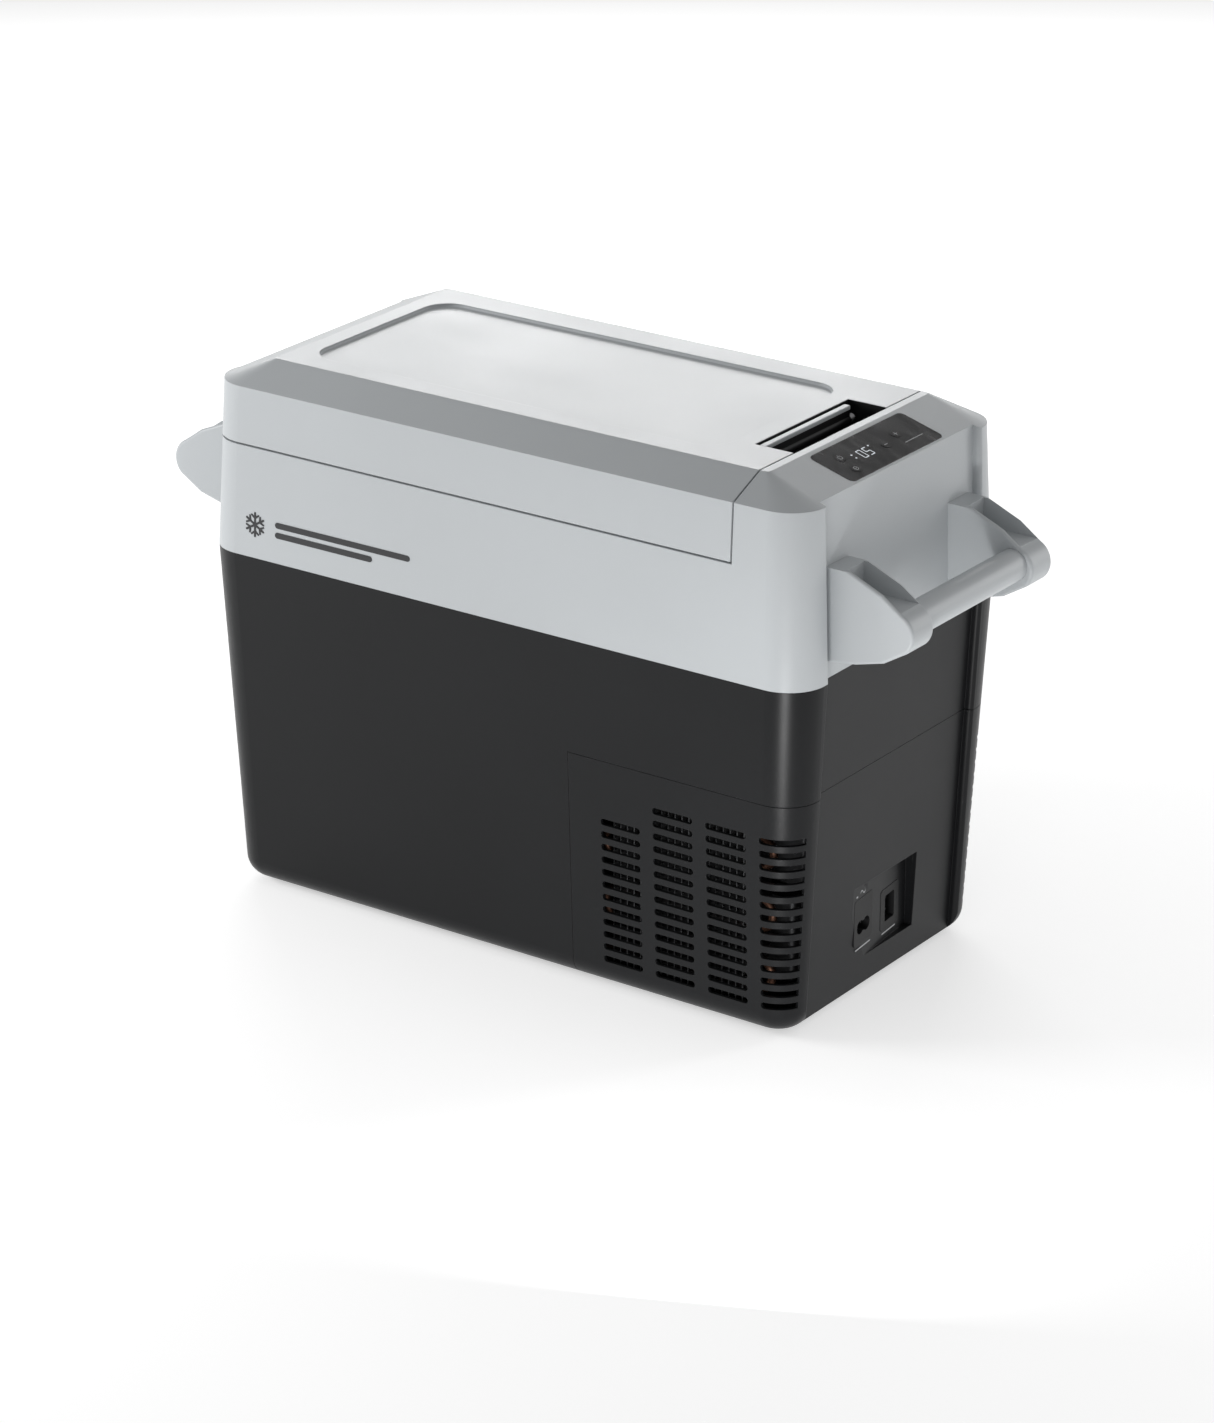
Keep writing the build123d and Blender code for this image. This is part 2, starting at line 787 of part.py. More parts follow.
spring_wire = 0.6
spring_turns = 5
spring_start = lever_back + 1.2
with BuildPart() as latch_spring:
    for turn in range(spring_turns):
        turn_centre = spring_start + turn * 2 * (spring_wire - 0.02)
        with BuildSketch(Plane.YZ.offset(lever_x)):
            with Locations((turn_centre, lever_pivot_height + latch_pin_radius + 0.9)):
                Circle(spring_wire)
        revolve(axis=Axis((lever_x, 0, lever_pivot_height), (0, 1, 0)))
save("latch_spring", latch_spring.part)

with BuildPart() as latch_striker:
    add(
        box_between((fixed_end_start - 2.25, -12, 396), (fixed_end_start, 29, top_height - 0.5))
    )
    chamfer(latch_striker.edges().filter_by(Axis.Y).group_by(Axis.X)[0], 1.2)
    with BuildSketch(Plane.YZ.offset(fixed_end_start)):
        with Locations((8.5, 402), (8.5, 414)):
            RectangleRounded(26, 3, 1)
    extrude(amount=-3, mode=Mode.SUBTRACT)
save("latch_striker", latch_striker.part)

# ---------------------------------------------------------------- hinge


def hinge_leaves(lid_side):
    """The leaves and knuckles of both hinges, for the lid or for the cabinet."""
    offsets = (-1, 1) if lid_side else (-2, 0, 2)
    half_leaf = 2.5 * (knuckle_length + knuckle_gap)
    web_low, web_high = (0.5, 4.5) if lid_side else (-4.5, -0.5)
    leaf_low, leaf_high = (hinge_height + 2.5, 388.0) if lid_side else (338.0, hinge_height - 2.5)
    with BuildPart() as leaves:
        for centre in hinge_centres:
            add(
                box_between(
                    (hinge_x + 6.2, centre - half_leaf, leaf_low), (-250, centre + half_leaf, leaf_high)
                )
            )
            for offset in offsets:
                middle = centre + offset * (knuckle_length + knuckle_gap)
                ends = (middle - knuckle_length / 2, middle + knuckle_length / 2)
                add(
                    box_between(
                        (hinge_x + 1, ends[0], hinge_height + web_low),
                        (-250, ends[1], hinge_height + web_high),
                    )
                )
        add(body_form(300, rim_height), mode=Mode.SUBTRACT)
        add(body_form(lid_bottom, chamfer_base), mode=Mode.SUBTRACT)
        add(box_between((-258, -90, rim_height - 1), (-200, 90, lid_bottom + 1)), mode=Mode.SUBTRACT)
        for centre in hinge_centres:
            for offset in offsets:
                middle = centre + offset * (knuckle_length + knuckle_gap)
                with BuildSketch(Plane.XZ.offset(-(middle - knuckle_length / 2))):
                    with Locations((hinge_x, hinge_height)):
                        Circle(hinge_barrel_radius)
                extrude(amount=-knuckle_length)
            with BuildSketch(Plane.XZ.offset(-(centre - half_leaf - 1))):
                with Locations((hinge_x, hinge_height)):
                    Circle(hinge_pin_radius + running_gap)
            extrude(amount=-2 * (half_leaf + 1), mode=Mode.SUBTRACT)
    return leaves.part


save("hinge_cabinet_leaves", hinge_leaves(False))
save("hinge_lid_leaves", hinge_leaves(True))

with BuildPart() as hinge_pins:
    for centre in hinge_centres:
        half_pin = 2.5 * (knuckle_length + knuckle_gap) - 0.5
        with BuildSketch(Plane.XZ.offset(-(centre - half_pin))):
            with Locations((hinge_x, hinge_height)):
                Circle(hinge_pin_radius)
        extrude(amount=-2 * half_pin)
save("hinge_pins", hinge_pins.part)

# ---------------------------------------------------------------- handles


def handle_arms(end):
    """Both arms of one handle, -1 for the left end and 1 for the right."""
    with BuildPart() as arms:
        for side in (-1, 1):
            with BuildSketch(Plane.XZ.offset(-side * arm_inner)):
                with BuildLine():
                    Polyline((324, 337), (307, 349), (280, 360.5), (240, 360.5), (240, 289), (262, 289))
                    Polyline((262, 289), (286, 292), (309, 298), (328, 309.6))
                    ThreePointArc((328, 309.6), (333.4, 322), (324, 337))
                make_face()
            extrude(amount=-side * (arm_outer - arm_inner))
        outer_sides = arms.faces().filter_by(Axis.Y).edges()
        fillet(outer_sides.filter_by(lambda edge: edge.center().X > 263), 2.5)
        for side in (-1, 1):
            with BuildSketch(Plane.XY.offset(arm_pocket_floor)):
                with Locations((arm_pocket_start, side * (arm_pocket_inner + arm_pocket_outer) / 2)):
                    Rectangle(60, arm_pocket_outer - arm_pocket_inner, align=(Align.MIN, Align.CENTER))
            extrude(amount=30, mode=Mode.SUBTRACT)
        with BuildSketch(Plane.XZ.offset(arm_inner + bar_insert + 0.3)):
            with Locations((handle_bar_x, handle_bar_height)):
                Circle(handle_bar_radius + running_gap)
        extrude(amount=-2 * (arm_inner + bar_insert + 0.3), mode=Mode.SUBTRACT)
        for y, height in handle_screw_places:
            with BuildSketch(Plane.YZ.offset(240)):
                with Locations((y, height)):
                    Circle(handle_screw_radius + running_gap)
            extrude(amount=47, mode=Mode.SUBTRACT)
        add(body_form(colour_seam, rim_height), mode=Mode.SUBTRACT)
        if end < 0:
            mirror(about=Plane.YZ, mode=Mode.REPLACE)
    return arms.part


def handle_bar(end):
    """The grip bar between the arms of one handle."""
    with BuildPart() as bar:
        with BuildSketch(Plane.XZ.offset(arm_inner + bar_insert)):
            with Locations((end * handle_bar_x, handle_bar_height)):
                Circle(handle_bar_radius)
        extrude(amount=-2 * (arm_inner + bar_insert))
    return bar.part


for end, name in ((-1, "left"), (1, "right")):
    save(f"handle_{name}_arms", handle_arms(end))
    save(f"handle_{name}_bar", handle_bar(end))

with BuildPart() as handle_screws:
    for end in (-1, 1):
        for y, height in handle_screw_places:
            seat = Plane(origin=(end * (seat_x(height) - 0.3), y, height), z_dir=(-end, 0, 0))
            add(screw(handle_screw_radius, 4.5, 26).moved(seat.location))
save("handle_screws", handle_screws.part)

# ---------------------------------------------------------------- control panel

panel_proud = 0.15
button_proud = 0.35
button_gap = 0.3
button_flange_top = -1.9
button_flange_low = -3.1
button_stem_low = -5.2
switch_top = -6.1
board_top = -9.1
board_low = -10.7
board_length, board_width = 108.0, 30.0

with BuildPart() as control_overlay:
    with BuildSketch(panel_plane.offset(-panel_thickness)):
        with Locations((0, panel_middle)):
            RectangleRounded(panel_length, panel_width, 4.8)
        with Locations(*[(x, y + panel_middle) for x, y in button_places.values()]):
            Circle(button_radius + button_gap, mode=Mode.SUBTRACT)
    extrude(amount=panel_thickness + panel_proud)
    chamfer(control_overlay.faces().sort_by(Axis.Z)[-1].outer_wire().edges(), 0.12)
save("control_overlay", control_overlay.part)


def panel_button(x, y):
    """A push button: cap through the overlay, flange under it, stem towards its switch."""
    with BuildPart() as button:
        for low, high, radius in (
            (button_flange_top, button_proud, button_radius),
            (button_flange_low, button_flange_top, button_radius + 1.2),
            (button_stem_low, button_flange_low, 1.5),
        ):
            with BuildSketch(panel_plane.offset(low)):
                with Locations((x, y + panel_middle)):
                    Circle(radius)
            extrude(amount=high - low)
    return button.part


for name, place in button_places.items():
    save(name, panel_button(*place))

with BuildPart() as display_board:
    with BuildSketch(panel_plane.offset(board_low)):
        with Locations((0, panel_middle)):
            RectangleRounded(board_length, board_width, 2)
    extrude(amount=board_top - board_low)
    with BuildSketch(panel_plane.offset(board_top)):
        with Locations(*[(x, y + panel_middle) for x, y in button_places.values()]):
            Rectangle(6, 6)
    extrude(amount=switch_top - board_top)
    with BuildSketch(panel_plane.offset(board_top)):
        with Locations((-15.5, panel_middle)):
            Rectangle(26, 18)
    extrude(amount=-panel_thickness - 0.4 - board_top)
save("display_board", display_board.part)

with BuildPart() as board_carrier:
    with BuildSketch(panel_plane.offset(board_low - 2)):
        with Locations((0, panel_middle)):
            Rectangle(panel_length + 10, board_width)
            Rectangle(board_length - 12, board_width - 10, mode=Mode.SUBTRACT)
    extrude(amount=2)
    with BuildSketch(panel_plane.offset(board_low)):
        with Locations((0, panel_middle)):
            with GridLocations(panel_length + 4, board_width - 8, 2, 2):
                Circle(3)
    extrude(amount=-wall - 1.0 - board_low)
save("board_carrier", board_carrier.part)

# ---------------------------------------------------------------- power inlets

inlet_depth = 22.0
with BuildPart() as ac_inlet:
    with BuildSketch(ramp_plane.offset(-inlet_depth)):
        with Locations(ac_centre):
            RectangleRounded(ac_size[0] - 4.2, ac_size[1] - 4.2, 2)
    extrude(amount=inlet_depth - inlet_rim)
    with BuildSketch(ramp_plane.offset(-inlet_rim)):
        with Locations(ac_centre):
            RectangleRounded(*ac_size, 3)
    extrude(amount=inlet_rim + 0.4)
    mouth_centre = (ac_centre[0], ac_centre[1] - 5)
    with BuildSketch(ramp_plane.offset(-14)):
        with Locations(mouth_centre):
            with GridLocations(9.4, 0, 2, 1):
                Circle(5.4)
            Rectangle(9.4, 8.0)
    extrude(amount=20, mode=Mode.SUBTRACT)
    with BuildSketch(ramp_plane.offset(-14)):
        with Locations(mouth_centre):
            with GridLocations(8.6, 0, 2, 1):
                Circle(1.2)
    extrude(amount=10)
save("ac_inlet", ac_inlet.part)

with BuildPart() as dc_socket:
    with BuildSketch(ramp_plane.offset(-inlet_depth)):
        with Locations(dc_centre):
            RectangleRounded(dc_size[0] - 4.2, dc_size[1] - 4.2, 2)
    extrude(amount=inlet_depth - inlet_rim)
    with BuildSketch(ramp_plane.offset(-inlet_rim)):
        with Locations(dc_centre):
            RectangleRounded(*dc_size, 3)
    extrude(amount=inlet_rim + 0.4)
    with BuildSketch(ramp_plane.offset(-15)):
        with Locations(dc_centre):
            RectangleRounded(15, 21, 1.5)
    extrude(amount=20, mode=Mode.SUBTRACT)
    with BuildSketch(ramp_plane.offset(-15)):
        with Locations(dc_centre):
            with GridLocations(0, 9, 1, 2):
                Rectangle(6.3, 1.2)
    extrude(amount=11)
save("dc_socket", dc_socket.part)

# ---------------------------------------------------------------- machine bay

bay_floor = body_bottom + wall
condenser_y = -111.0
condenser_left, condenser_right = 84.0, 231.0
condenser_rows = 6
condenser_pitch = 24.0
condenser_low = 30.0
refrigerant_radius = 3.2
fin_pitch = 6.0
fin_count = 20
fin_start = 98.0

row_heights = [condenser_low + row * condenser_pitch for row in range(condenser_rows)]
serpentine = []
for row, height in enumerate(row_heights):
    ends = [(condenser_left, condenser_y, height), (condenser_right, condenser_y, height)]
    serpentine += ends if row % 2 == 0 else ends[::-1]
save("condenser_tube", tube(serpentine, refrigerant_radius, condenser_pitch / 2 - 0.1))

with BuildPart() as condenser_fins:
    for index in range(fin_count):
        with BuildSketch(Plane.YZ.offset(fin_start + index * fin_pitch)):
            with Locations((condenser_y, condenser_low + (condenser_rows - 1) * condenser_pitch / 2)):
                Rectangle(22, 140)
                with GridLocations(0, condenser_pitch, 1, condenser_rows):
                    Circle(refrigerant_radius + running_gap, mode=Mode.SUBTRACT)
        extrude(amount=1)
save("condenser_fins", condenser_fins.part)

fan_x, fan_height = 158.0, 90.0
fan_front, fan_depth = -97.0, 25.0
fan_side, fan_bore = 92.0, 43.0
fan_hub = 17.0
fan_mount_thickness = 4.0
fan_screw_spacing = 82.5
fan_plane = Plane(origin=(fan_x, fan_front, fan_height), x_dir=(1, 0, 0), z_dir=(0, -1, 0))

with BuildPart() as fan_frame:
    with BuildSketch(fan_plane):
        RectangleRounded(fan_side, fan_side, 4)
        Circle(fan_bore, mode=Mode.SUBTRACT)
        with GridLocations(fan_screw_spacing, fan_screw_spacing, 2, 2):
            Circle(2.2, mode=Mode.SUBTRACT)
    extrude(amount=-fan_depth)
    with BuildSketch(fan_plane.offset(-fan_depth)):
        Circle(fan_hub)
        Rectangle(2 * fan_bore + 2, 4)
        Rectangle(4, 2 * fan_bore + 2)
    extrude(amount=fan_mount_thickness)
    with BuildSketch(fan_plane.offset(-fan_depth + fan_mount_thickness)):
        Circle(2)
    extrude(amount=12)
save("fan_frame", fan_frame.part)

rotor_low = -fan_depth + fan_mount_thickness + 0.6
rotor_high = -1.5
blade_count = 7
blade_pitch = 35.0
blade_tip = fan_bore - 1.5
with BuildPart() as fan_rotor:
    with BuildSketch(fan_plane.offset(rotor_low)):
        Circle(fan_hub)
    extrude(amount=rotor_high - rotor_low)
    with BuildSketch(fan_plane.offset(rotor_low)):
        Circle(2 + running_gap)
    extrude(amount=14, mode=Mode.SUBTRACT)
    for index in range(blade_count):
        turn = radians(index * 360 / blade_count)
        radial = Vector(cos(turn), 0, sin(turn))
        root = Vector(fan_x, fan_front - (rotor_low + rotor_high) / 2, fan_height) + radial * (fan_hub - 1)
        with BuildSketch(Plane(origin=root, x_dir=(0, 1, 0), z_dir=radial)):
            Rectangle(21, 1.6, rotation=blade_pitch)
        extrude(amount=blade_tip - fan_hub + 1)
save("fan_rotor", fan_rotor.part)

with BuildPart() as fan_screws:
    for x in (-fan_screw_spacing / 2, fan_screw_spacing / 2):
        for y in (-fan_screw_spacing / 2, fan_screw_spacing / 2):
            seat = Plane(origin=(fan_x + x, fan_front + fan_depth, fan_height + y), z_dir=(0, 1, 0))
            add(screw(2.1, 3.8, 24, 3.0).moved(seat.location))
save("fan_screws", fan_screws.part)

compressor_x, compressor_y = 130.0, 20.0
compressor_radius = 50.0
compressor_low, compressor_seam, compressor_high = 30.0, 86.0, 146.0
bracket_low = 26.0
bracket_side = 106.0
grommet_spacing = 88.0
compressor_place = (compressor_x, compressor_y)

with BuildPart() as compressor_lower_shell:
    with BuildSketch(Plane.XY.offset(compressor_low)):
        with Locations(compressor_place):
            Circle(compressor_radius)
    extrude(amount=compressor_seam - compressor_low)
    fillet(compressor_lower_shell.faces().sort_by(Axis.Z)[0].edges(), 14)
    with BuildSketch(Plane.XY.offset(compressor_seam - 3)):
        with Locations(compressor_place):
            Circle(compressor_radius + 3)
    extrude(amount=3)
save("compressor_lower_shell", compressor_lower_shell.part)

with BuildPart() as compressor_upper_shell:
    with BuildSketch(Plane.XY.offset(compressor_seam)):
        with Locations(compressor_place):
            Circle(compressor_radius)
    extrude(amount=compressor_high - compressor_seam)
    fillet(compressor_upper_shell.faces().sort_by(Axis.Z)[-1].edges(), 24)
    with BuildSketch(Plane.XY.offset(compressor_seam)):
        with Locations(compressor_place):
            Circle(compressor_radius + 3)
    extrude(amount=3)
save("compressor_upper_shell", compressor_upper_shell.part)

with BuildPart() as compressor_bracket:
    with BuildSketch(Plane.XY.offset(bracket_low)):
        with Locations(compressor_place):
            RectangleRounded(bracket_side, bracket_side, 12)
            with GridLocations(grommet_spacing, grommet_spacing, 2, 2):
                Circle(5.05, mode=Mode.SUBTRACT)
    extrude(amount=2)
    with BuildSketch(Plane.XY.offset(bracket_low + 2)):
        with Locations(compressor_place):
            Circle(24)
    extrude(amount=2)
save("compressor_bracket", compressor_bracket.part)

with BuildPart() as compressor_grommets:
    for low, high, radius in ((bay_floor, bracket_low, 9), (bracket_low, bracket_low + 2, 5)):
        with BuildSketch(Plane.XY.offset(low)):
            with Locations(compressor_place):
                with GridLocations(grommet_spacing, grommet_spacing, 2, 2):
                    Circle(radius)
                    Circle(3.05, mode=Mode.SUBTRACT)
        extrude(amount=high - low)
save("compressor_grommets", compressor_grommets.part)

with BuildPart() as compressor_bolts:
    for low, high, radius in ((bay_floor, bracket_low + 2, 3), (bracket_low + 2, bracket_low + 6, 5.4)):
        with BuildSketch(Plane.XY.offset(low)):
            with Locations(compressor_place):
                with GridLocations(grommet_spacing, grommet_spacing, 2, 2):
                    if radius > 3:
                        RegularPolygon(radius, 6)
                    else:
                        Circle(radius)
        extrude(amount=high - low)
save("compressor_bolts", compressor_bolts.part)

with BuildPart() as compressor_driver:
    add(rounded_block(188, 216, -60, 60, bay_floor + 6, 80, 4))
    with BuildSketch(Plane.YZ.offset(216)):
        with Locations((0, 46)):
            with GridLocations(10, 0, 9, 1):
                Rectangle(2, 50)
    extrude(amount=-5, mode=Mode.SUBTRACT)
save("compressor_driver", compressor_driver.part)

with BuildPart() as power_supply:
    add(rounded_block(188, 226, -60, 60, 92, 150, 4))
    fillet(power_supply.faces().sort_by(Axis.Z)[-1].edges(), 2)
save("power_supply", power_supply.part)

drier_x, drier_y, drier_low, drier_high = 88.0, 100.0, 62.0, 142.0
with BuildPart() as filter_drier:
    with BuildSketch(Plane.XY.offset(drier_low)):
        with Locations((drier_x, drier_y)):
            Circle(9)
    extrude(amount=drier_high - drier_low)
    fillet(filter_drier.edges().filter_by(GeomType.CIRCLE), 6)
save("filter_drier", filter_drier.part)

line_x = 72.0
top_row = row_heights[-1]
save(
    "discharge_line",
    tube(
        [
            (115, 5, compressor_high),
            (115, 5, 172),
            (line_x, -60, 172),
            (line_x, condenser_y, 172),
            (line_x, condenser_y, top_row),
            (condenser_left, condenser_y, top_row),
        ],
        refrigerant_radius,
        8,
    ),
)
save(
    "liquid_line",
    tube(
        [
            (condenser_left, condenser_y, condenser_low),
            (line_x, condenser_y, condenser_low),
            (line_x, drier_y, condenser_low),
            (drier_x, drier_y, condenser_low),
            (drier_x, drier_y, drier_low),
        ],
        refrigerant_radius,
        7.5,
    ),
)
save(
    "capillary_line",
    tube(
        [
            (drier_x, drier_y, drier_high),
            (drier_x, drier_y, 166),
            (76, 70, 176),
            (76, 50, 176),
            (76, 50, bay_top),
        ],
        1.5,
        5,
    ),
)
save(
    "suction_line",
    tube(
        [(145, 30, compressor_high), (145, 30, 172), (100, 84, 172), (100, 84, bay_top)],
        4,
        7,
    ),
)

lead_x = 221.0
with BuildPart() as inlet_leads:
    for centre in (ac_centre, dc_centre):
        start = ramp_plane.from_local_coords((centre[0], centre[1], -inlet_depth - 0.25))
        add(tube([start, (lead_x, start.Y, start.Z), (lead_x, start.Y, 92)], 2, 3.5))
save("inlet_leads", inlet_leads.part)

with BuildPart() as base_screws:
    for x, y in base_screw_places:
        seat = Plane(origin=(x, y, body_bottom), z_dir=(0, 0, -1))
        add(screw(base_screw_radius, 2.9, 11, 1.6).moved(seat.location))
save("base_screws", base_screws.part)
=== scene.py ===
import json
import math

import bmesh
import bpy
from mathutils import Matrix, Vector


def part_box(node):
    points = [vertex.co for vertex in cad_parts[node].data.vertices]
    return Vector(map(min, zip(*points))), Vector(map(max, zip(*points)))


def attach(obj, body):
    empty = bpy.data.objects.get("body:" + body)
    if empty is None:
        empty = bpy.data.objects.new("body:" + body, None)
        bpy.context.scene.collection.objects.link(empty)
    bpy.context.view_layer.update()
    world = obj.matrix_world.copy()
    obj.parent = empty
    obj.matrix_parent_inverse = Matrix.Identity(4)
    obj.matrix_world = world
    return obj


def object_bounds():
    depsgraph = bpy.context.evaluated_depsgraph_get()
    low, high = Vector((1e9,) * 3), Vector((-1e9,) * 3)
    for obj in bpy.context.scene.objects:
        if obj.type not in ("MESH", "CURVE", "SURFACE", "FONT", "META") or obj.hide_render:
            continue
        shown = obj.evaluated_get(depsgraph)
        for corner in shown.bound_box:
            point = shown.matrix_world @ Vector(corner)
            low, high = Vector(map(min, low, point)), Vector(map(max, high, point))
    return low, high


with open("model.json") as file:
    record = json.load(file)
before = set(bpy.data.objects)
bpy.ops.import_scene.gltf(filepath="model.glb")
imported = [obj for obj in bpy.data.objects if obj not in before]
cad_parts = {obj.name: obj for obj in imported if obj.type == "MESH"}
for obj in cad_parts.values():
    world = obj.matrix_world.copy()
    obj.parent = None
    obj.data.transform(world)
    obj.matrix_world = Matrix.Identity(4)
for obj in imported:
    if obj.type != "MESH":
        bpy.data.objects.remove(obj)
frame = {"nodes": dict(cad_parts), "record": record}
cad_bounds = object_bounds()
nodes = frame["nodes"]

MM = 0.001

# ------------------------------------------------------------------ camera

CAMERA_AZIMUTH = math.radians(35.31)
CAMERA_ELEVATION = math.radians(21.45)
CAMERA_DISTANCE = 3.740
CAMERA_LENS = 125.5
CAMERA_SHIFT = (0.0045, -0.0476)
CAMERA_TARGET_RISE = 1.5 * MM
CAMERA_REACH = 30


def add_camera():
    """Looks at the middle of the cooler from its front right corner."""
    low, high = cad_bounds
    target = Vector((0, 0, (low[2] + high[2]) / 2 + CAMERA_TARGET_RISE))
    back = Vector(
        (
            math.sin(CAMERA_AZIMUTH) * math.cos(CAMERA_ELEVATION),
            -math.cos(CAMERA_AZIMUTH) * math.cos(CAMERA_ELEVATION),
            math.sin(CAMERA_ELEVATION),
        )
    )
    data = bpy.data.cameras.new("camera")
    data.lens = CAMERA_LENS
    data.shift_x, data.shift_y = CAMERA_SHIFT
    data.clip_end = CAMERA_REACH
    camera = bpy.data.objects.new("camera", data)
    camera.location = target + back * CAMERA_DISTANCE
    camera.rotation_euler = (-back).to_track_quat("-Z", "Y").to_euler()
    bpy.context.scene.collection.objects.link(camera)
    bpy.context.scene.camera = camera


add_camera()

# ------------------------------------------------------------------ materials


class Surface:
    """A material's node tree, with short names for what the finishes below use."""

    def __init__(self, name, color, roughness, metallic=0.0, specular=0.5):
        self.material = bpy.data.materials.new(name)
        self.material.use_nodes = True
        self.material.diffuse_color = (*color, 1)
        self.tree = self.material.node_tree
        self.shader = self.tree.nodes["Principled BSDF"]
        self.set("Base Color", (*color, 1))
        self.set("Roughness", roughness)
        self.set("Metallic", metallic)
        self.set("Specular IOR Level", specular)
        self.place = self.tree.nodes.new("ShaderNodeTexCoord").outputs["Object"]

    def set(self, socket, value):
        """A constant on the shader's own socket."""
        self.shader.inputs[socket].default_value = value

    def link(self, output, socket):
        """A node's output into one of the shader's sockets."""
        self.tree.links.new(output, self.shader.inputs[socket])

    def node(self, kind, inputs=(), **settings):
        """A new node with its settings and inputs, which are values or other nodes' outputs."""
        made = self.tree.nodes.new(kind)
        for key, value in settings.items():
            setattr(made, key, value)
        for key, value in dict(inputs).items():
            if isinstance(value, bpy.types.NodeSocket):
                self.tree.links.new(value, made.inputs[key])
            else:
                made.inputs[key].default_value = value
        return made

    def stretched(self, factors):
        """The object's coordinates, scaled along each axis."""
        return self.node("ShaderNodeMapping", {"Vector": self.place, "Scale": factors}).outputs["Vector"]

    def noise(self, scale, detail=4.0, place=None, roughness=0.55):
        """Noise with a number of features to the metre."""
        inputs = {"Vector": place or self.place, "Scale": scale, "Detail": detail, "Roughness": roughness}
        return self.node("ShaderNodeTexNoise", inputs).outputs["Fac"]

    def cells(self, scale):
        """Distance to the nearest of a number of random points to the metre."""
        inputs = {"Vector": self.place, "Scale": scale}
        return self.node("ShaderNodeTexVoronoi", inputs).outputs["Distance"]

    def ramp(self, factor, low, high, start, end):
        """A value that goes from start to end as factor goes from low to high."""
        inputs = {"Value": factor, "From Min": low, "From Max": high, "To Min": start, "To Max": end}
        return self.node("ShaderNodeMapRange", inputs).outputs["Result"]

    def mix(self, factor, first, second):
        """A colour between two, each a colour or another node's output."""
        made = self.node("ShaderNodeMix", {0: factor}, data_type="RGBA")
        for socket, color in ((made.inputs[6], first), (made.inputs[7], second)):
            if isinstance(color, bpy.types.NodeSocket):
                self.tree.links.new(color, socket)
            else:
                socket.default_value = (*color, 1)
        return made.outputs[2]

    def product(self, first, second):
        """Two values multiplied."""
        return self.node("ShaderNodeMath", {0: first, 1: second}, operation="MULTIPLY").outputs[0]

    def total(self, first, second):
        """Two values added."""
        return self.node("ShaderNodeMath", {0: first, 1: second}, operation="ADD").outputs[0]

    def soft_edges(self, radius):
        """Normals rounded over the edges, and how near to an edge a point is, from 0 to 1."""
        rounded = self.node("ShaderNodeBevel", {"Radius": radius}, samples=4).outputs["Normal"]
        flat = self.node("ShaderNodeNewGeometry").outputs["Normal"]
        likeness = self.node("ShaderNodeVectorMath", {0: rounded, 1: flat}, operation="DOT_PRODUCT")
        return rounded, self.ramp(likeness.outputs["Value"], 0.995, 0.8, 0, 1)

    def bump(self, height, distance, normal=None):
        """Relief of the surface, its depth in metres."""
        inputs = {"Height": height, "Distance": distance, "Strength": 1.0}
        if normal:
            inputs["Normal"] = normal
        self.link(self.node("ShaderNodeBump", inputs).outputs["Normal"], "Normal")


def shade(color, factor):
    """A colour made darker or lighter."""
    return tuple(min(1, channel * factor) for channel in color)


# The tone that rubbed plastic goes towards, and how far it goes
RUBBED_TONE = 0.8
RUBBED_SHARE = 0.09


def moulded_plastic(name, color, roughness, grain, mottle=0.03, wear=0.4, specular=0.5, edge=0.0007):
    """Spark-eroded plastic: fine pebble grain, cloudy sheen, scuffs and rubbed edges."""
    surface = Surface(name, color, roughness, specular=specular)
    cloud = surface.noise(9, 3)
    fine = surface.noise(1900, 2)
    pebble = surface.cells(1300)
    scratches = surface.noise(60, 6, surface.stretched((1, 1, 7)), 0.7)
    normal, rim = surface.soft_edges(edge)
    scuff = surface.product(
        surface.ramp(scratches, 0.66, 0.78, 0, 1), surface.ramp(surface.noise(5, 2), 0.5, 0.7, 0, wear)
    )
    rubbed = surface.product(rim, surface.ramp(surface.noise(40, 4), 0.35, 0.7, 0, wear))
    worn = tuple(channel + (RUBBED_TONE - channel) * RUBBED_SHARE for channel in color)
    base = surface.mix(
        surface.ramp(cloud, 0.3, 0.7, 0, 1), shade(color, 1 - mottle), shade(color, 1 + mottle)
    )
    surface.link(surface.mix(surface.total(scuff, rubbed), base, worn), "Base Color")
    sheen = surface.total(
        surface.ramp(cloud, 0.3, 0.7, roughness - 0.03, roughness + 0.03),
        surface.ramp(fine, 0.3, 0.7, -0.03, 0.03),
    )
    surface.link(surface.total(sheen, surface.product(scuff, 0.12)), "Roughness")
    relief = surface.total(surface.ramp(fine, 0.3, 0.7, 0, 0.6), surface.ramp(pebble, 0, 0.6, 0, 0.4))
    surface.bump(relief, grain, normal)
    return surface.material


def glossy_plastic(name, color, roughness=0.16):
    """Smooth lens-like plastic with faint wiping marks and dust."""
    surface = Surface(name, color, roughness, specular=0.3)
    smears = surface.noise(35, 5, surface.stretched((1, 3, 1)))
    dust = surface.ramp(surface.noise(2500, 2), 0.62, 0.75, 0, 1)
    surface.link(surface.ramp(smears, 0.35, 0.7, roughness, roughness + 0.14), "Roughness")
    surface.link(surface.mix(dust, color, tuple(channel + 0.03 for channel in color)), "Base Color")
    surface.bump(smears, 0.000004)
    return surface.material


def rubber(name, color):
    """Matt rubber with bloom in its pores."""
    surface = Surface(name, color, 0.75, specular=0.35)
    pores = surface.noise(1400, 4)
    bloom = surface.ramp(surface.noise(60, 4), 0.4, 0.75, 0, 1)
    surface.link(surface.mix(bloom, color, tuple(channel + 0.025 for channel in color)), "Base Color")
    surface.link(surface.ramp(pores, 0.3, 0.7, 0.66, 0.86), "Roughness")
    surface.bump(pores, 0.00008)
    return surface.material


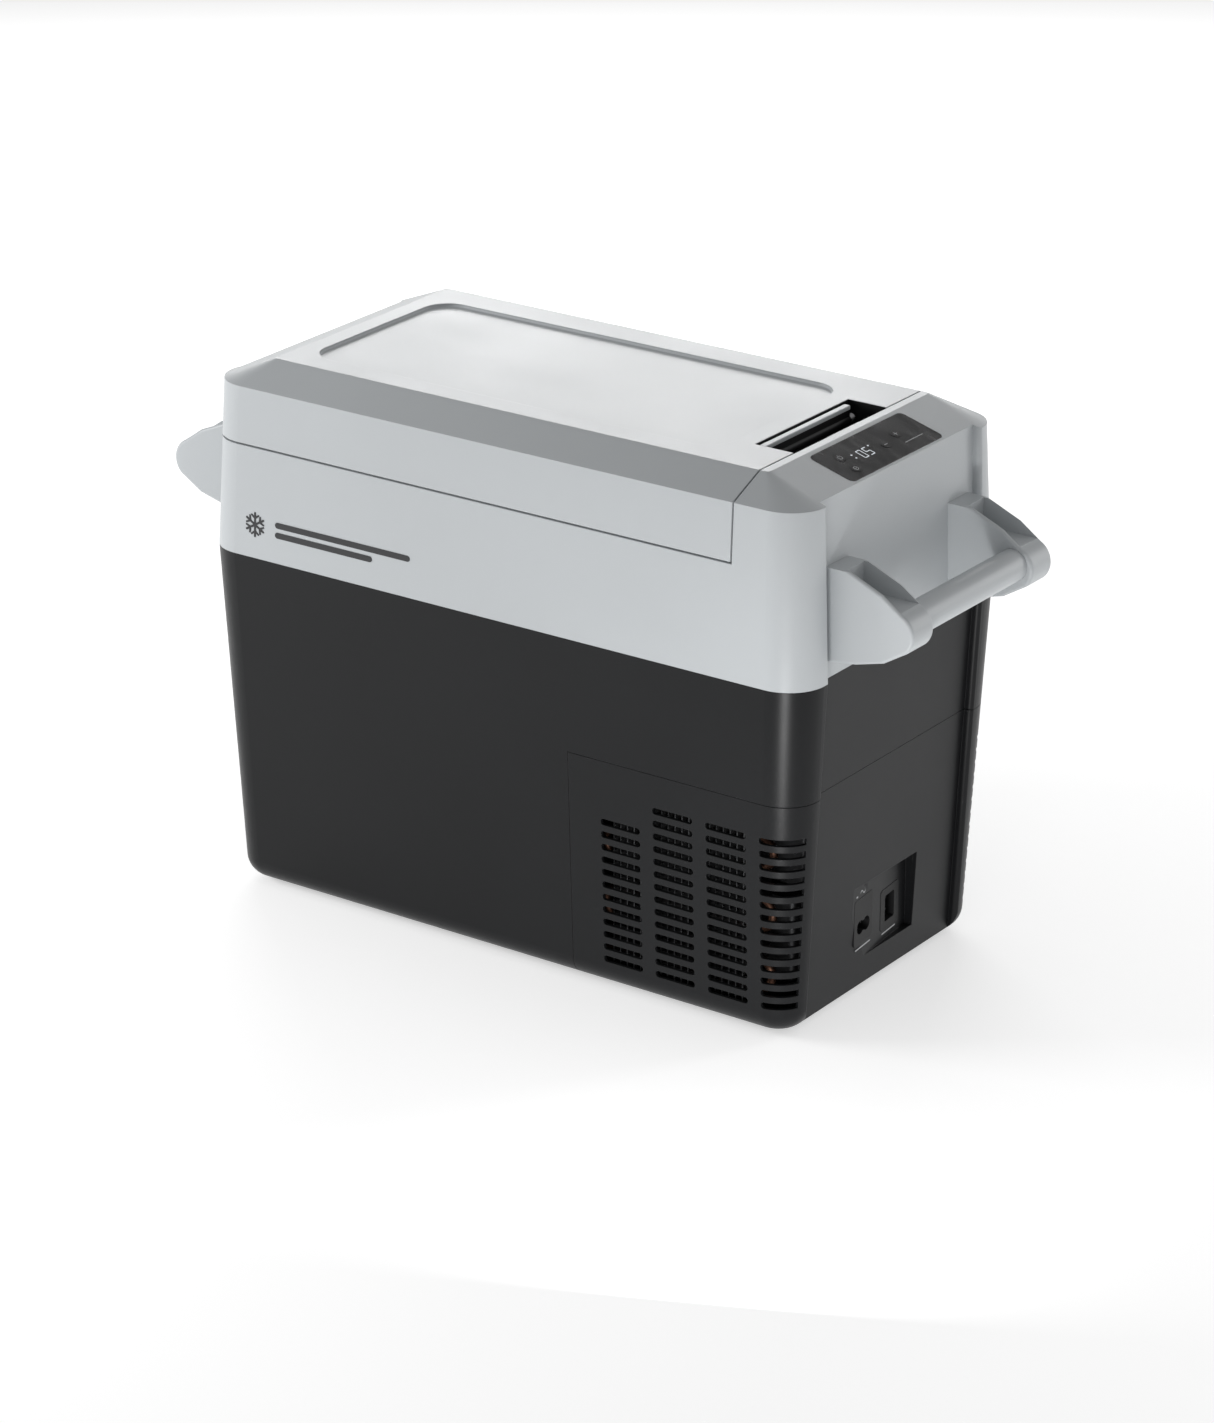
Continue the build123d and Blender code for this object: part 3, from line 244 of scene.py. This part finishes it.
def drawn_metal(name, color, roughness, stretch, scale=900):
    """Rolled or drawn metal with fine lines along one axis and duller patches."""
    surface = Surface(name, color, roughness, metallic=1.0)
    lines = surface.noise(scale, 3, surface.stretched(stretch))
    patches = surface.noise(45, 4)
    dull = surface.ramp(patches, 0.45, 0.75, 0, 1)
    surface.link(surface.mix(dull, color, shade(color, 0.72)), "Base Color")
    spread = surface.ramp(lines, 0.3, 0.7, roughness - 0.08, roughness + 0.1)
    surface.link(surface.total(spread, surface.ramp(patches, 0.4, 0.8, 0, 0.15)), "Roughness")
    surface.bump(lines, 0.00002)
    return surface.material


def rigid_foam(name, color):
    """Poured foam: closed cells, a darker skin in places."""
    surface = Surface(name, color, 0.9, specular=0.2)
    cells = surface.cells(700)
    flow = surface.ramp(surface.noise(14, 5), 0.45, 0.7, 0, 1)
    surface.link(surface.mix(flow, color, shade(color, 0.7)), "Base Color")
    surface.link(surface.ramp(cells, 0, 0.6, 0.95, 0.8), "Roughness")
    surface.bump(cells, 0.0005)
    return surface.material


def circuit_board(name, color):
    """Solder mask over faint copper tracks."""
    surface = Surface(name, color, 0.3)
    inputs = {"Vector": surface.place, "Scale": 260, "Mortar Size": 0.03}
    tracks = surface.node("ShaderNodeTexBrick", inputs).outputs["Fac"]
    surface.link(surface.mix(tracks, color, shade(color, 2.2)), "Base Color")
    surface.link(surface.ramp(surface.noise(400, 3), 0.3, 0.7, 0.24, 0.4), "Roughness")
    surface.bump(tracks, 0.00003)
    return surface.material


def enamel(name, color):
    """Baked enamel on metal, with orange peel and a few chips."""
    surface = Surface(name, color, 0.3)
    peel = surface.noise(420, 2)
    chips = surface.ramp(surface.noise(130, 6), 0.70, 0.74, 0, 1)
    surface.link(surface.mix(chips, color, (0.10, 0.085, 0.075)), "Base Color")
    surface.link(surface.ramp(peel, 0.3, 0.7, 0.24, 0.4), "Roughness")
    surface.bump(peel, 0.00004)
    return surface.material


def printed_ink(name, color, glow=0.0):
    """Screen-printed ink, slightly uneven; a lit one glows."""
    surface = Surface(name, color, 0.45)
    uneven = surface.noise(2500, 3)
    surface.link(surface.mix(surface.ramp(uneven, 0.4, 0.7, 0, 1), color, shade(color, 0.85)), "Base Color")
    surface.link(surface.ramp(uneven, 0.3, 0.7, 0.38, 0.55), "Roughness")
    surface.set("Emission Color", (*color, 1))
    surface.set("Emission Strength", glow)
    surface.bump(uneven, 0.000005)
    return surface.material


LIGHT_GREY = (0.48, 0.503, 0.518)
CHARCOAL = (0.0088, 0.0092, 0.0101)
LENS_BLACK = (0.012, 0.012, 0.0125)
RUBBER_BLACK = (0.012, 0.012, 0.012)
LINER_GREY = (0.42, 0.44, 0.45)
FOAM_YELLOW = (0.72, 0.62, 0.38)
DEEP_BLACK = (0.006, 0.006, 0.0065)
BOARD_GREEN = (0.01, 0.08, 0.035)
ENAMEL_BLACK = (0.010, 0.010, 0.011)
STEEL = (0.60, 0.60, 0.61)
BLACK_STEEL = (0.03, 0.03, 0.031)
# Painted shade: much darker than the bare metals, so that the tubes and fins behind the slots stay dark
SHADE_DARKENED_ALUMINIUM = (0.12, 0.122, 0.126)
SHADE_DARKENED_COPPER = (0.11, 0.058, 0.04)
BADGE_GREY = (0.022, 0.023, 0.025)
PRINT_GREY = (0.42, 0.43, 0.44)
LIT_WHITE = (0.75, 0.80, 0.85)
LIT_GLOW = 0.35

SLOT_MATERIALS = {
    "light_shell": moulded_plastic("light_grey_plastic", LIGHT_GREY, 0.38, grain=0.00003, mottle=0.015),
    "dark_shell": moulded_plastic(
        "charcoal_plastic", CHARCOAL, 0.36, grain=0.00003, mottle=0.08, wear=0.3, specular=0.19
    ),
    "gloss_black": glossy_plastic("black_lens", LENS_BLACK),
    "black_rubber": rubber("black_rubber", RUBBER_BLACK),
    "liner_plastic": moulded_plastic(
        "liner_plastic", LINER_GREY, 0.35, grain=0.00004, mottle=0.02, wear=0.3
    ),
    "rigid_foam": rigid_foam("rigid_foam", FOAM_YELLOW),
    "socket_black": moulded_plastic(
        "socket_black", DEEP_BLACK, 0.5, grain=0.00002, mottle=0.1, wear=0.2, specular=0.3, edge=0.0004
    ),
    "circuit_board": circuit_board("circuit_board", BOARD_GREEN),
    "steel_parts": drawn_metal("zinc_steel", STEEL, 0.32, (1, 1, 6)),
    # Aluminium and copper in the shade-darkened colours: painted shade behind the vent slots
    "aluminium_parts": drawn_metal("aluminium", SHADE_DARKENED_ALUMINIUM, 0.5, (8, 1, 1)),
    "copper": drawn_metal("copper", SHADE_DARKENED_COPPER, 0.45, (1, 1, 5)),
    "black_enamel": enamel("black_enamel", ENAMEL_BLACK),
}
# Painted shade: near-black steel for the latch pin, so it stays dark in the latch pocket
PIN_SHADE_STEEL = drawn_metal("pin_shade_steel", BLACK_STEEL, 0.5, (6, 1, 6))
INK = printed_ink("badge_ink", BADGE_GREY)
PALE_INK = printed_ink("pale_ink", PRINT_GREY)
LIT_INK = printed_ink("lit_segments", LIT_WHITE, LIT_GLOW)


def paint_frame():
    """Gives each CAD node the material of its slot, and paints the latch pin near black, painted shade that
    keeps it dark in the latch pocket.
    """
    for entry in frame["record"]["subparts"]:
        mesh = nodes[entry["node"]].data
        mesh.materials.clear()
        mesh.materials.append(SLOT_MATERIALS[entry["material_slot"]])
    nodes["latch_pin"].data.materials[0] = PIN_SHADE_STEEL


paint_frame()

# ------------------------------------------------------------------ marks and prisms

# Each outline of a group stands this much higher than the one before it, so none lie in one plane
MARK_STEP = 0.004
# Straight steps in the round end of a bar, and in a ring
END_STEPS = 8
RING_STEPS = 24


def frame_at(origin, across, up):
    """A local frame: x across, y up, z out of the surface."""
    across = Vector(across).normalized()
    up = Vector(up).normalized()
    out = across.cross(up)
    matrix = Matrix((across, up, out)).transposed().to_4x4()
    return Matrix.Translation(Vector(origin)) @ matrix


def arc_points(centre, radius, start, end, steps):
    """Points along an arc, its angles in degrees."""
    points = []
    for step in range(steps + 1):
        angle = math.radians(start + (end - start) * step / steps)
        points.append((centre[0] + radius * math.cos(angle), centre[1] + radius * math.sin(angle)))
    return points


def bar_outline(start, end, width):
    """A bar with round ends between two points."""
    turn = math.degrees(math.atan2(end[1] - start[1], end[0] - start[0]))
    far_end = arc_points(end, width / 2, turn - 90, turn + 90, END_STEPS)
    return far_end + arc_points(start, width / 2, turn + 90, turn + 270, END_STEPS)


def ring_outline(centre, radius, width, start, end):
    """A band along an arc."""
    outer = arc_points(centre, radius + width / 2, start, end, RING_STEPS)
    return outer + arc_points(centre, radius - width / 2, end, start, RING_STEPS)


def add_piece(name, mesh, material, body):
    """A mesh as a piece of the visual model: its material and the body it rides on."""
    mesh.materials.append(material)
    piece = bpy.data.objects.new(name, mesh)
    bpy.context.scene.collection.objects.link(piece)
    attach(piece, body)


def marks(name, outlines, place, proud, material, body, depth=0.25, edge=0.06):
    """Flat shapes standing proud of a surface, their edges rounded; all sizes in millimetres."""
    mesh = bpy.data.meshes.new(name)
    solid = bmesh.new()
    for index, outline in enumerate(outlines):
        top = proud + index * MARK_STEP
        lower = [solid.verts.new((x, y, -depth)) for x, y in outline]
        upper = [solid.verts.new((x, y, top)) for x, y in outline]
        solid.faces.new(lower[::-1])
        solid.faces.new(upper)
        rim = []
        for near in range(len(outline)):
            far = (near + 1) % len(outline)
            solid.faces.new((lower[near], lower[far], upper[far], upper[near]))
            rim.append(solid.edges.get((upper[near], upper[far])))
        bmesh.ops.bevel(solid, geom=rim, offset=edge, segments=2, affect="EDGES", clamp_overlap=True)
    solid.to_mesh(mesh)
    solid.free()
    mesh.transform(Matrix.Scale(MM, 4))
    mesh.transform(place)
    add_piece(name, mesh, material, body)


def prism(name, section, span, slot="socket_black", body="lid", bevel=0.0):
    """A section in X and Z, carried along Y between two places; all sizes in millimetres."""
    count = len(section)
    vertices = [Vector((x, y, z)) * MM for y in span for x, z in section]
    faces = [tuple(range(count)), tuple(range(2 * count - 1, count - 1, -1))]
    for near in range(count):
        far = (near + 1) % count
        faces.append((near, far, count + far, count + near))
    mesh = bpy.data.meshes.new(name)
    mesh.from_pydata(vertices, [], faces)
    solid = bmesh.new()
    solid.from_mesh(mesh)
    bmesh.ops.recalc_face_normals(solid, faces=solid.faces)
    if bevel:
        bmesh.ops.bevel(solid, geom=solid.edges[:], offset=bevel * MM, segments=2, affect="EDGES")
    solid.to_mesh(mesh)
    solid.free()
    add_piece(name, mesh, SLOT_MATERIALS[slot], body)


# ------------------------------------------------------------------ badge on the front

# The light casing's lower edge, and the slope of its front face
SEAM_HEIGHT = 277.1
SEAM_HALF_DEPTH = 139.6
FRONT_DRAFT = math.atan2(6.4, 131.4)
BADGE_HEIGHT = 303.5
BADGE_LEFT = -229.0
BADGE_PROUD = 0.35
FLAKE_RADIUS = 9.0
FLAKE_CENTRE = (9.5, 0.0)
FLAKE_FORK = 5.0
FLAKE_BARB = 4.0
FLAKE_ARM_WIDTH = 1.7
FLAKE_BARB_WIDTH = 1.4
BARB_ANGLE = math.radians(52)
BADGE_BARS = (((31, 3.6), (153, 3.6)), ((31, -4.2), (118, -4.2)))
BADGE_BAR_WIDTH = 4.6


def from_point(point, distance, angle):
    """The point at a distance and an angle from another."""
    return (point[0] + distance * math.cos(angle), point[1] + distance * math.sin(angle))


def add_badge():
    """A snowflake and two plain bars, low on the left of the light casing."""
    depth = SEAM_HALF_DEPTH - (BADGE_HEIGHT - SEAM_HEIGHT) * math.tan(FRONT_DRAFT)
    place = frame_at(
        (BADGE_LEFT * MM, -depth * MM, BADGE_HEIGHT * MM),
        (1, 0, 0),
        (0, math.sin(FRONT_DRAFT), math.cos(FRONT_DRAFT)),
    )
    flake = []
    for arm in range(6):
        turn = math.radians(90 + 60 * arm)
        tip = from_point(FLAKE_CENTRE, FLAKE_RADIUS, turn)
        flake.append(bar_outline(FLAKE_CENTRE, tip, FLAKE_ARM_WIDTH))
        fork = from_point(FLAKE_CENTRE, FLAKE_FORK, turn)
        for side in (-1, 1):
            barb_end = from_point(fork, FLAKE_BARB, turn + side * BARB_ANGLE)
            flake.append(bar_outline(fork, barb_end, FLAKE_BARB_WIDTH))
    marks("badge_snowflake", flake, place, BADGE_PROUD, INK, "cabinet")
    bars = [bar_outline(start, end, BADGE_BAR_WIDTH) for start, end in BADGE_BARS]
    marks("badge_bars", bars, place, BADGE_PROUD, INK, "cabinet")


add_badge()

# ------------------------------------------------------------------ control panel

PANEL_SLOPE = math.atan2(14.5, 50.6)
OVERLAY_HALF_THICKNESS = 0.825
PRINT_PROUD = 0.03
PRINT_EDGE = 0.01
# Seven-segment figures, 2 units wide and 4 high about their middle
SEGMENT_ENDS = {
    "a": ((-1, 2), (1, 2)),
    "b": ((1, 2), (1, 0)),
    "c": ((1, 0), (1, -2)),
    "d": ((-1, -2), (1, -2)),
    "e": ((-1, 0), (-1, -2)),
    "f": ((-1, 2), (-1, 0)),
    "g": ((-1, 0), (1, 0)),
}
DIGIT_SEGMENTS = {"0": "abcdef", "5": "afgcd"}
SEGMENT_INSET = 0.16
SEGMENT_WIDTH = 0.36
DIGIT_PITCH = 3.4
DIGIT_SCALE = 2.3
FIRST_DIGIT = -19.5
INDICATOR_LENGTH = 0.6
INDICATOR_WIDTH = 1.3
INDICATORS = ((-29, -1), (-29, 3.4), (-5.5, 4.6))
PANEL_LINE = ((25.5, -8.5), (48.5, -8.5))
PANEL_LINE_WIDTH = 0.7


def print_on(name, outlines, place, ink, body, depth=0.25):
    """Ink on a surface, hardly proud of it."""
    marks(name, outlines, place, PRINT_PROUD, ink, body, depth, PRINT_EDGE)


def panel_frame():
    """The control overlay's face: x along the panel, y up its slope."""
    low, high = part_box("control_overlay")
    middle = (Vector(low) + Vector(high)) / 2
    across = Vector((0, 1, 0))
    up = Vector((-math.cos(PANEL_SLOPE), 0, math.sin(PANEL_SLOPE)))
    return frame_at(middle + across.cross(up) * OVERLAY_HALF_THICKNESS * MM, across, up)


def digit_outlines(text, first, scale):
    """Figures from the first one's middle on, each segment shortened to leave a gap at its ends."""
    outlines = []
    for index, figure in enumerate(text):
        centre = first + index * scale * DIGIT_PITCH
        for segment in DIGIT_SEGMENTS[figure]:
            (x0, y0), (x1, y1) = SEGMENT_ENDS[segment]
            along = ((x1 - x0) / 2 * SEGMENT_INSET, (y1 - y0) / 2 * SEGMENT_INSET)
            start = (centre + (x0 + along[0]) * scale, (y0 + along[1]) * scale)
            end = (centre + (x1 - along[0]) * scale, (y1 - along[1]) * scale)
            outlines.append(bar_outline(start, end, SEGMENT_WIDTH * scale))
    return outlines


def add_panel_marks():
    """The lit figures, the indicator lights and the line along the panel's lower edge."""
    place = panel_frame()
    figures = digit_outlines("05", FIRST_DIGIT, DIGIT_SCALE)
    print_on("display_figures", figures, place, LIT_INK, "cabinet")
    dots = [bar_outline((x, y), (x + INDICATOR_LENGTH, y), INDICATOR_WIDTH) for x, y in INDICATORS]
    print_on("indicator_lights", dots, place, LIT_INK, "cabinet")
    line = [bar_outline(*PANEL_LINE, PANEL_LINE_WIDTH)]
    print_on("panel_line", line, place, PALE_INK, "cabinet")


def button_face(key, turned):
    """The middle of a button's outer face, which its outermost vertices lie on."""
    out = turned.to_3x3() @ Vector((0, 0, 1))
    vertices = [vertex.co for vertex in nodes[f"{key}_button"].data.vertices]
    furthest = max(vertex.dot(out) for vertex in vertices)
    face = [vertex for vertex in vertices if vertex.dot(out) > furthest - 0.01 * MM]
    return sum(face, Vector()) / len(face)


def add_button_marks():
    """The symbol on each button, which rides with it."""
    turned = panel_frame().to_3x3().to_4x4()
    symbols = {
        "power": [ring_outline((0, 0), 2.0, 0.55, 125, 415), bar_outline((0, 0.6), (0, 2.7), 0.55)],
        "set": [ring_outline((0, 0), 1.9, 0.5, 0, 356), bar_outline((-0.8, 0), (0.8, 0), 0.6)],
        "minus": [bar_outline((-1.7, 0), (1.7, 0), 0.6)],
        "plus": [bar_outline((-1.7, 0), (1.7, 0), 0.6), bar_outline((0, -1.7), (0, 1.7), 0.6)],
    }
    for key, outlines in symbols.items():
        place = Matrix.Translation(button_face(key, turned)) @ turned
        print_on(f"{key}_symbol", outlines, place, PALE_INK, f"button_{key}")


add_panel_marks()
add_button_marks()

# ------------------------------------------------------------------ latch pocket

POCKET_X = (174.0, 206.6)
POCKET_UNDERCUT_X = 166.0
POCKET_Y = (-56.0, 67.0)
POCKET_Z = (377.5, 422.7)
UNDERCUT_TOP = 417.0
# Thickness of the thin black sheets that paint shade into the latch pocket
SHADE_SHEET_THICKNESS = 0.3
GAP_SHADE_SECTION = ((207.5, 365.5), (208.3, 365.5), (208.3, 422.2), (207.5, 421.8))
CAP_X = (176.8, 182.2)
CAP_RISE = 0.9
CAP_DROP = 2.2
CAP_SHOULDER_WIDTH = 0.5
CAP_SHOULDER_RISE = 0.5
CAP_OVERHANG = 0.2
CAP_BEVEL = 0.15


def add_pocket_shade_sheets():
    """Painted shade in the latch pocket: a thin black sheet bent along it, and a black plate at each end.
    """
    outer = [
        (POCKET_X[1], POCKET_Z[0]),
        (POCKET_UNDERCUT_X, POCKET_Z[0]),
        (POCKET_UNDERCUT_X, UNDERCUT_TOP),
        (POCKET_X[0], UNDERCUT_TOP),
        (POCKET_X[0], POCKET_Z[1]),
    ]
    inner = [
        (POCKET_X[1], POCKET_Z[0] + SHADE_SHEET_THICKNESS),
        (POCKET_UNDERCUT_X + SHADE_SHEET_THICKNESS, POCKET_Z[0] + SHADE_SHEET_THICKNESS),
        (POCKET_UNDERCUT_X + SHADE_SHEET_THICKNESS, UNDERCUT_TOP - SHADE_SHEET_THICKNESS),
        (POCKET_X[0] + SHADE_SHEET_THICKNESS, UNDERCUT_TOP - SHADE_SHEET_THICKNESS),
        (POCKET_X[0] + SHADE_SHEET_THICKNESS, POCKET_Z[1]),
    ]
    prism("latch_pocket_shade", outer + inner[::-1], POCKET_Y)
    end_shade_plate = outer + [(POCKET_X[1], POCKET_Z[1])]
    prism("latch_pocket_front_shade", end_shade_plate, (POCKET_Y[0], POCKET_Y[0] + SHADE_SHEET_THICKNESS))
    prism("latch_pocket_back_shade", end_shade_plate, (POCKET_Y[1] - SHADE_SHEET_THICKNESS, POCKET_Y[1]))


def add_gap_shade_sheet():
    """Painted shade on the face of the fixed end where it closes the latch pocket: a thin black sheet."""
    prism("latch_gap_shade", GAP_SHADE_SECTION, POCKET_Y, body="cabinet")


def add_lever_cap():
    """The light strip along the top of the latch lever."""
    low, high = (Vector(corner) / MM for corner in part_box("latch_lever"))
    left, right = CAP_X
    section = [
        (left, high.z - CAP_DROP),
        (left, high.z + CAP_SHOULDER_RISE),
        (left + CAP_SHOULDER_WIDTH, high.z + CAP_RISE),
        (right - CAP_SHOULDER_WIDTH, high.z + CAP_RISE),
        (right, high.z + CAP_SHOULDER_RISE),
        (right, high.z - CAP_DROP),
    ]
    span = (low.y - CAP_OVERHANG, high.y + CAP_OVERHANG)
    prism("lever_cap", section, span, "light_shell", "lever", bevel=CAP_BEVEL)


add_pocket_shade_sheets()
add_gap_shade_sheet()
add_lever_cap()

# ------------------------------------------------------------------ power inlets

RAMP_START = (252.69, -38.0)
RAMP_ANGLE = math.atan2(8.3, 86.0)
WAVE_ARCS = (((14.6, 81.2), 170, 20), ((18.4, 82.6), 200, 350))
WAVE_RADIUS = 2.0
WAVE_HALF_WIDTH = 0.45
WAVE_STEPS = 8
INLET_MARK_DEPTH = 0.1
# Start, end and width of each plain stroke
INLET_STROKES = (
    ((6, 37.8), (29, 37.8), 1.0),
    ((49, 34.2), (70, 34.2), 1.0),
    ((6.5, 80.6), (8.0, 80.6), 1.2),
)


def ramp_frame():
    """The sloping floor of the inlet pocket: x towards the back, y up."""
    return frame_at(
        (RAMP_START[0] * MM, RAMP_START[1] * MM, 0),
        (-math.sin(RAMP_ANGLE), math.cos(RAMP_ANGLE), 0),
        (0, 0, 1),
    )


def add_inlet_marks():
    """Plain strokes by the inlets: a wave and a short dash above the mains one, a bar below each."""
    wave = []
    for centre, start, end in WAVE_ARCS:
        wave += arc_points(centre, WAVE_RADIUS, start, end, WAVE_STEPS)
    band = [(x, y + WAVE_HALF_WIDTH) for x, y in wave]
    band += [(x, y - WAVE_HALF_WIDTH) for x, y in wave[::-1]]
    strokes = [band] + [bar_outline(*stroke) for stroke in INLET_STROKES]
    place = ramp_frame()
    print_on("inlet_marks", strokes, place, PALE_INK, "cabinet", INLET_MARK_DEPTH)


add_inlet_marks()

# ------------------------------------------------------------------ stage

FLOOR_REACH = 12
FLOOR_COLOR = (0.82, 0.82, 0.82)
FLOOR_GLOW = 0.5
SKY_STRENGTH = 0.38
# Place, point it faces, size and power of each soft light
LIGHTS = {
    "left_key": ((-1.3, -0.9, 0.75), (-0.05, -0.1, 0.3), (0.7, 0.5), 12),
    "corner_kicker": ((0.43, -0.50, 0.05), (0.255, -0.12, 0.25), (0.1, 0.09), 1.1),
    "back_softbox": ((-1.5, 2.1, 1.15), (0, 0, 0.42), (2.0, 0.7), 27),
    "rear_rim": ((1.6, 2.2, 0.9), (0.25, 0.1, 0.25), (0.5, 1.4), 13),
}


def add_area_light(name, place, aim, size, power):
    """A soft white rectangular light, which the camera doesn't see."""
    data = bpy.data.lights.new(name, "AREA")
    data.shape = "RECTANGLE"
    data.size, data.size_y = size
    data.energy = power
    light = bpy.data.objects.new(name, data)
    light.location = place
    light.rotation_euler = (Vector(aim) - Vector(place)).to_track_quat("-Z", "Y").to_euler()
    light.visible_camera = False
    bpy.context.scene.collection.objects.link(light)


def add_floor():
    """A pale seamless floor that glows a little, like a light table."""
    corners = [(x * FLOOR_REACH, y * FLOOR_REACH, 0) for x, y in ((-1, -1), (1, -1), (1, 1), (-1, 1))]
    mesh = bpy.data.meshes.new("floor")
    mesh.from_pydata(corners, [], [(0, 1, 2, 3)])
    floor = bpy.data.objects.new("floor", mesh)
    bpy.context.scene.collection.objects.link(floor)
    paper = Surface("floor_paper", FLOOR_COLOR, 0.9, specular=0.1)
    paper.link(paper.ramp(paper.noise(30, 3), 0.3, 0.7, 0.85, 0.95), "Roughness")
    paper.set("Emission Color", (1, 1, 1, 1))
    paper.set("Emission Strength", FLOOR_GLOW)
    mesh.materials.append(paper.material)


def add_sky():
    """Even white light from all round."""
    world = bpy.data.worlds.new("studio")
    world.use_nodes = True
    background = world.node_tree.nodes["Background"]
    background.inputs["Color"].default_value = (1, 1, 1, 1)
    background.inputs["Strength"].default_value = SKY_STRENGTH
    bpy.context.scene.world = world


add_floor()
add_sky()
for light_name, settings in LIGHTS.items():
    add_area_light(light_name, *settings)
bpy.context.scene.view_settings.view_transform = "Standard"
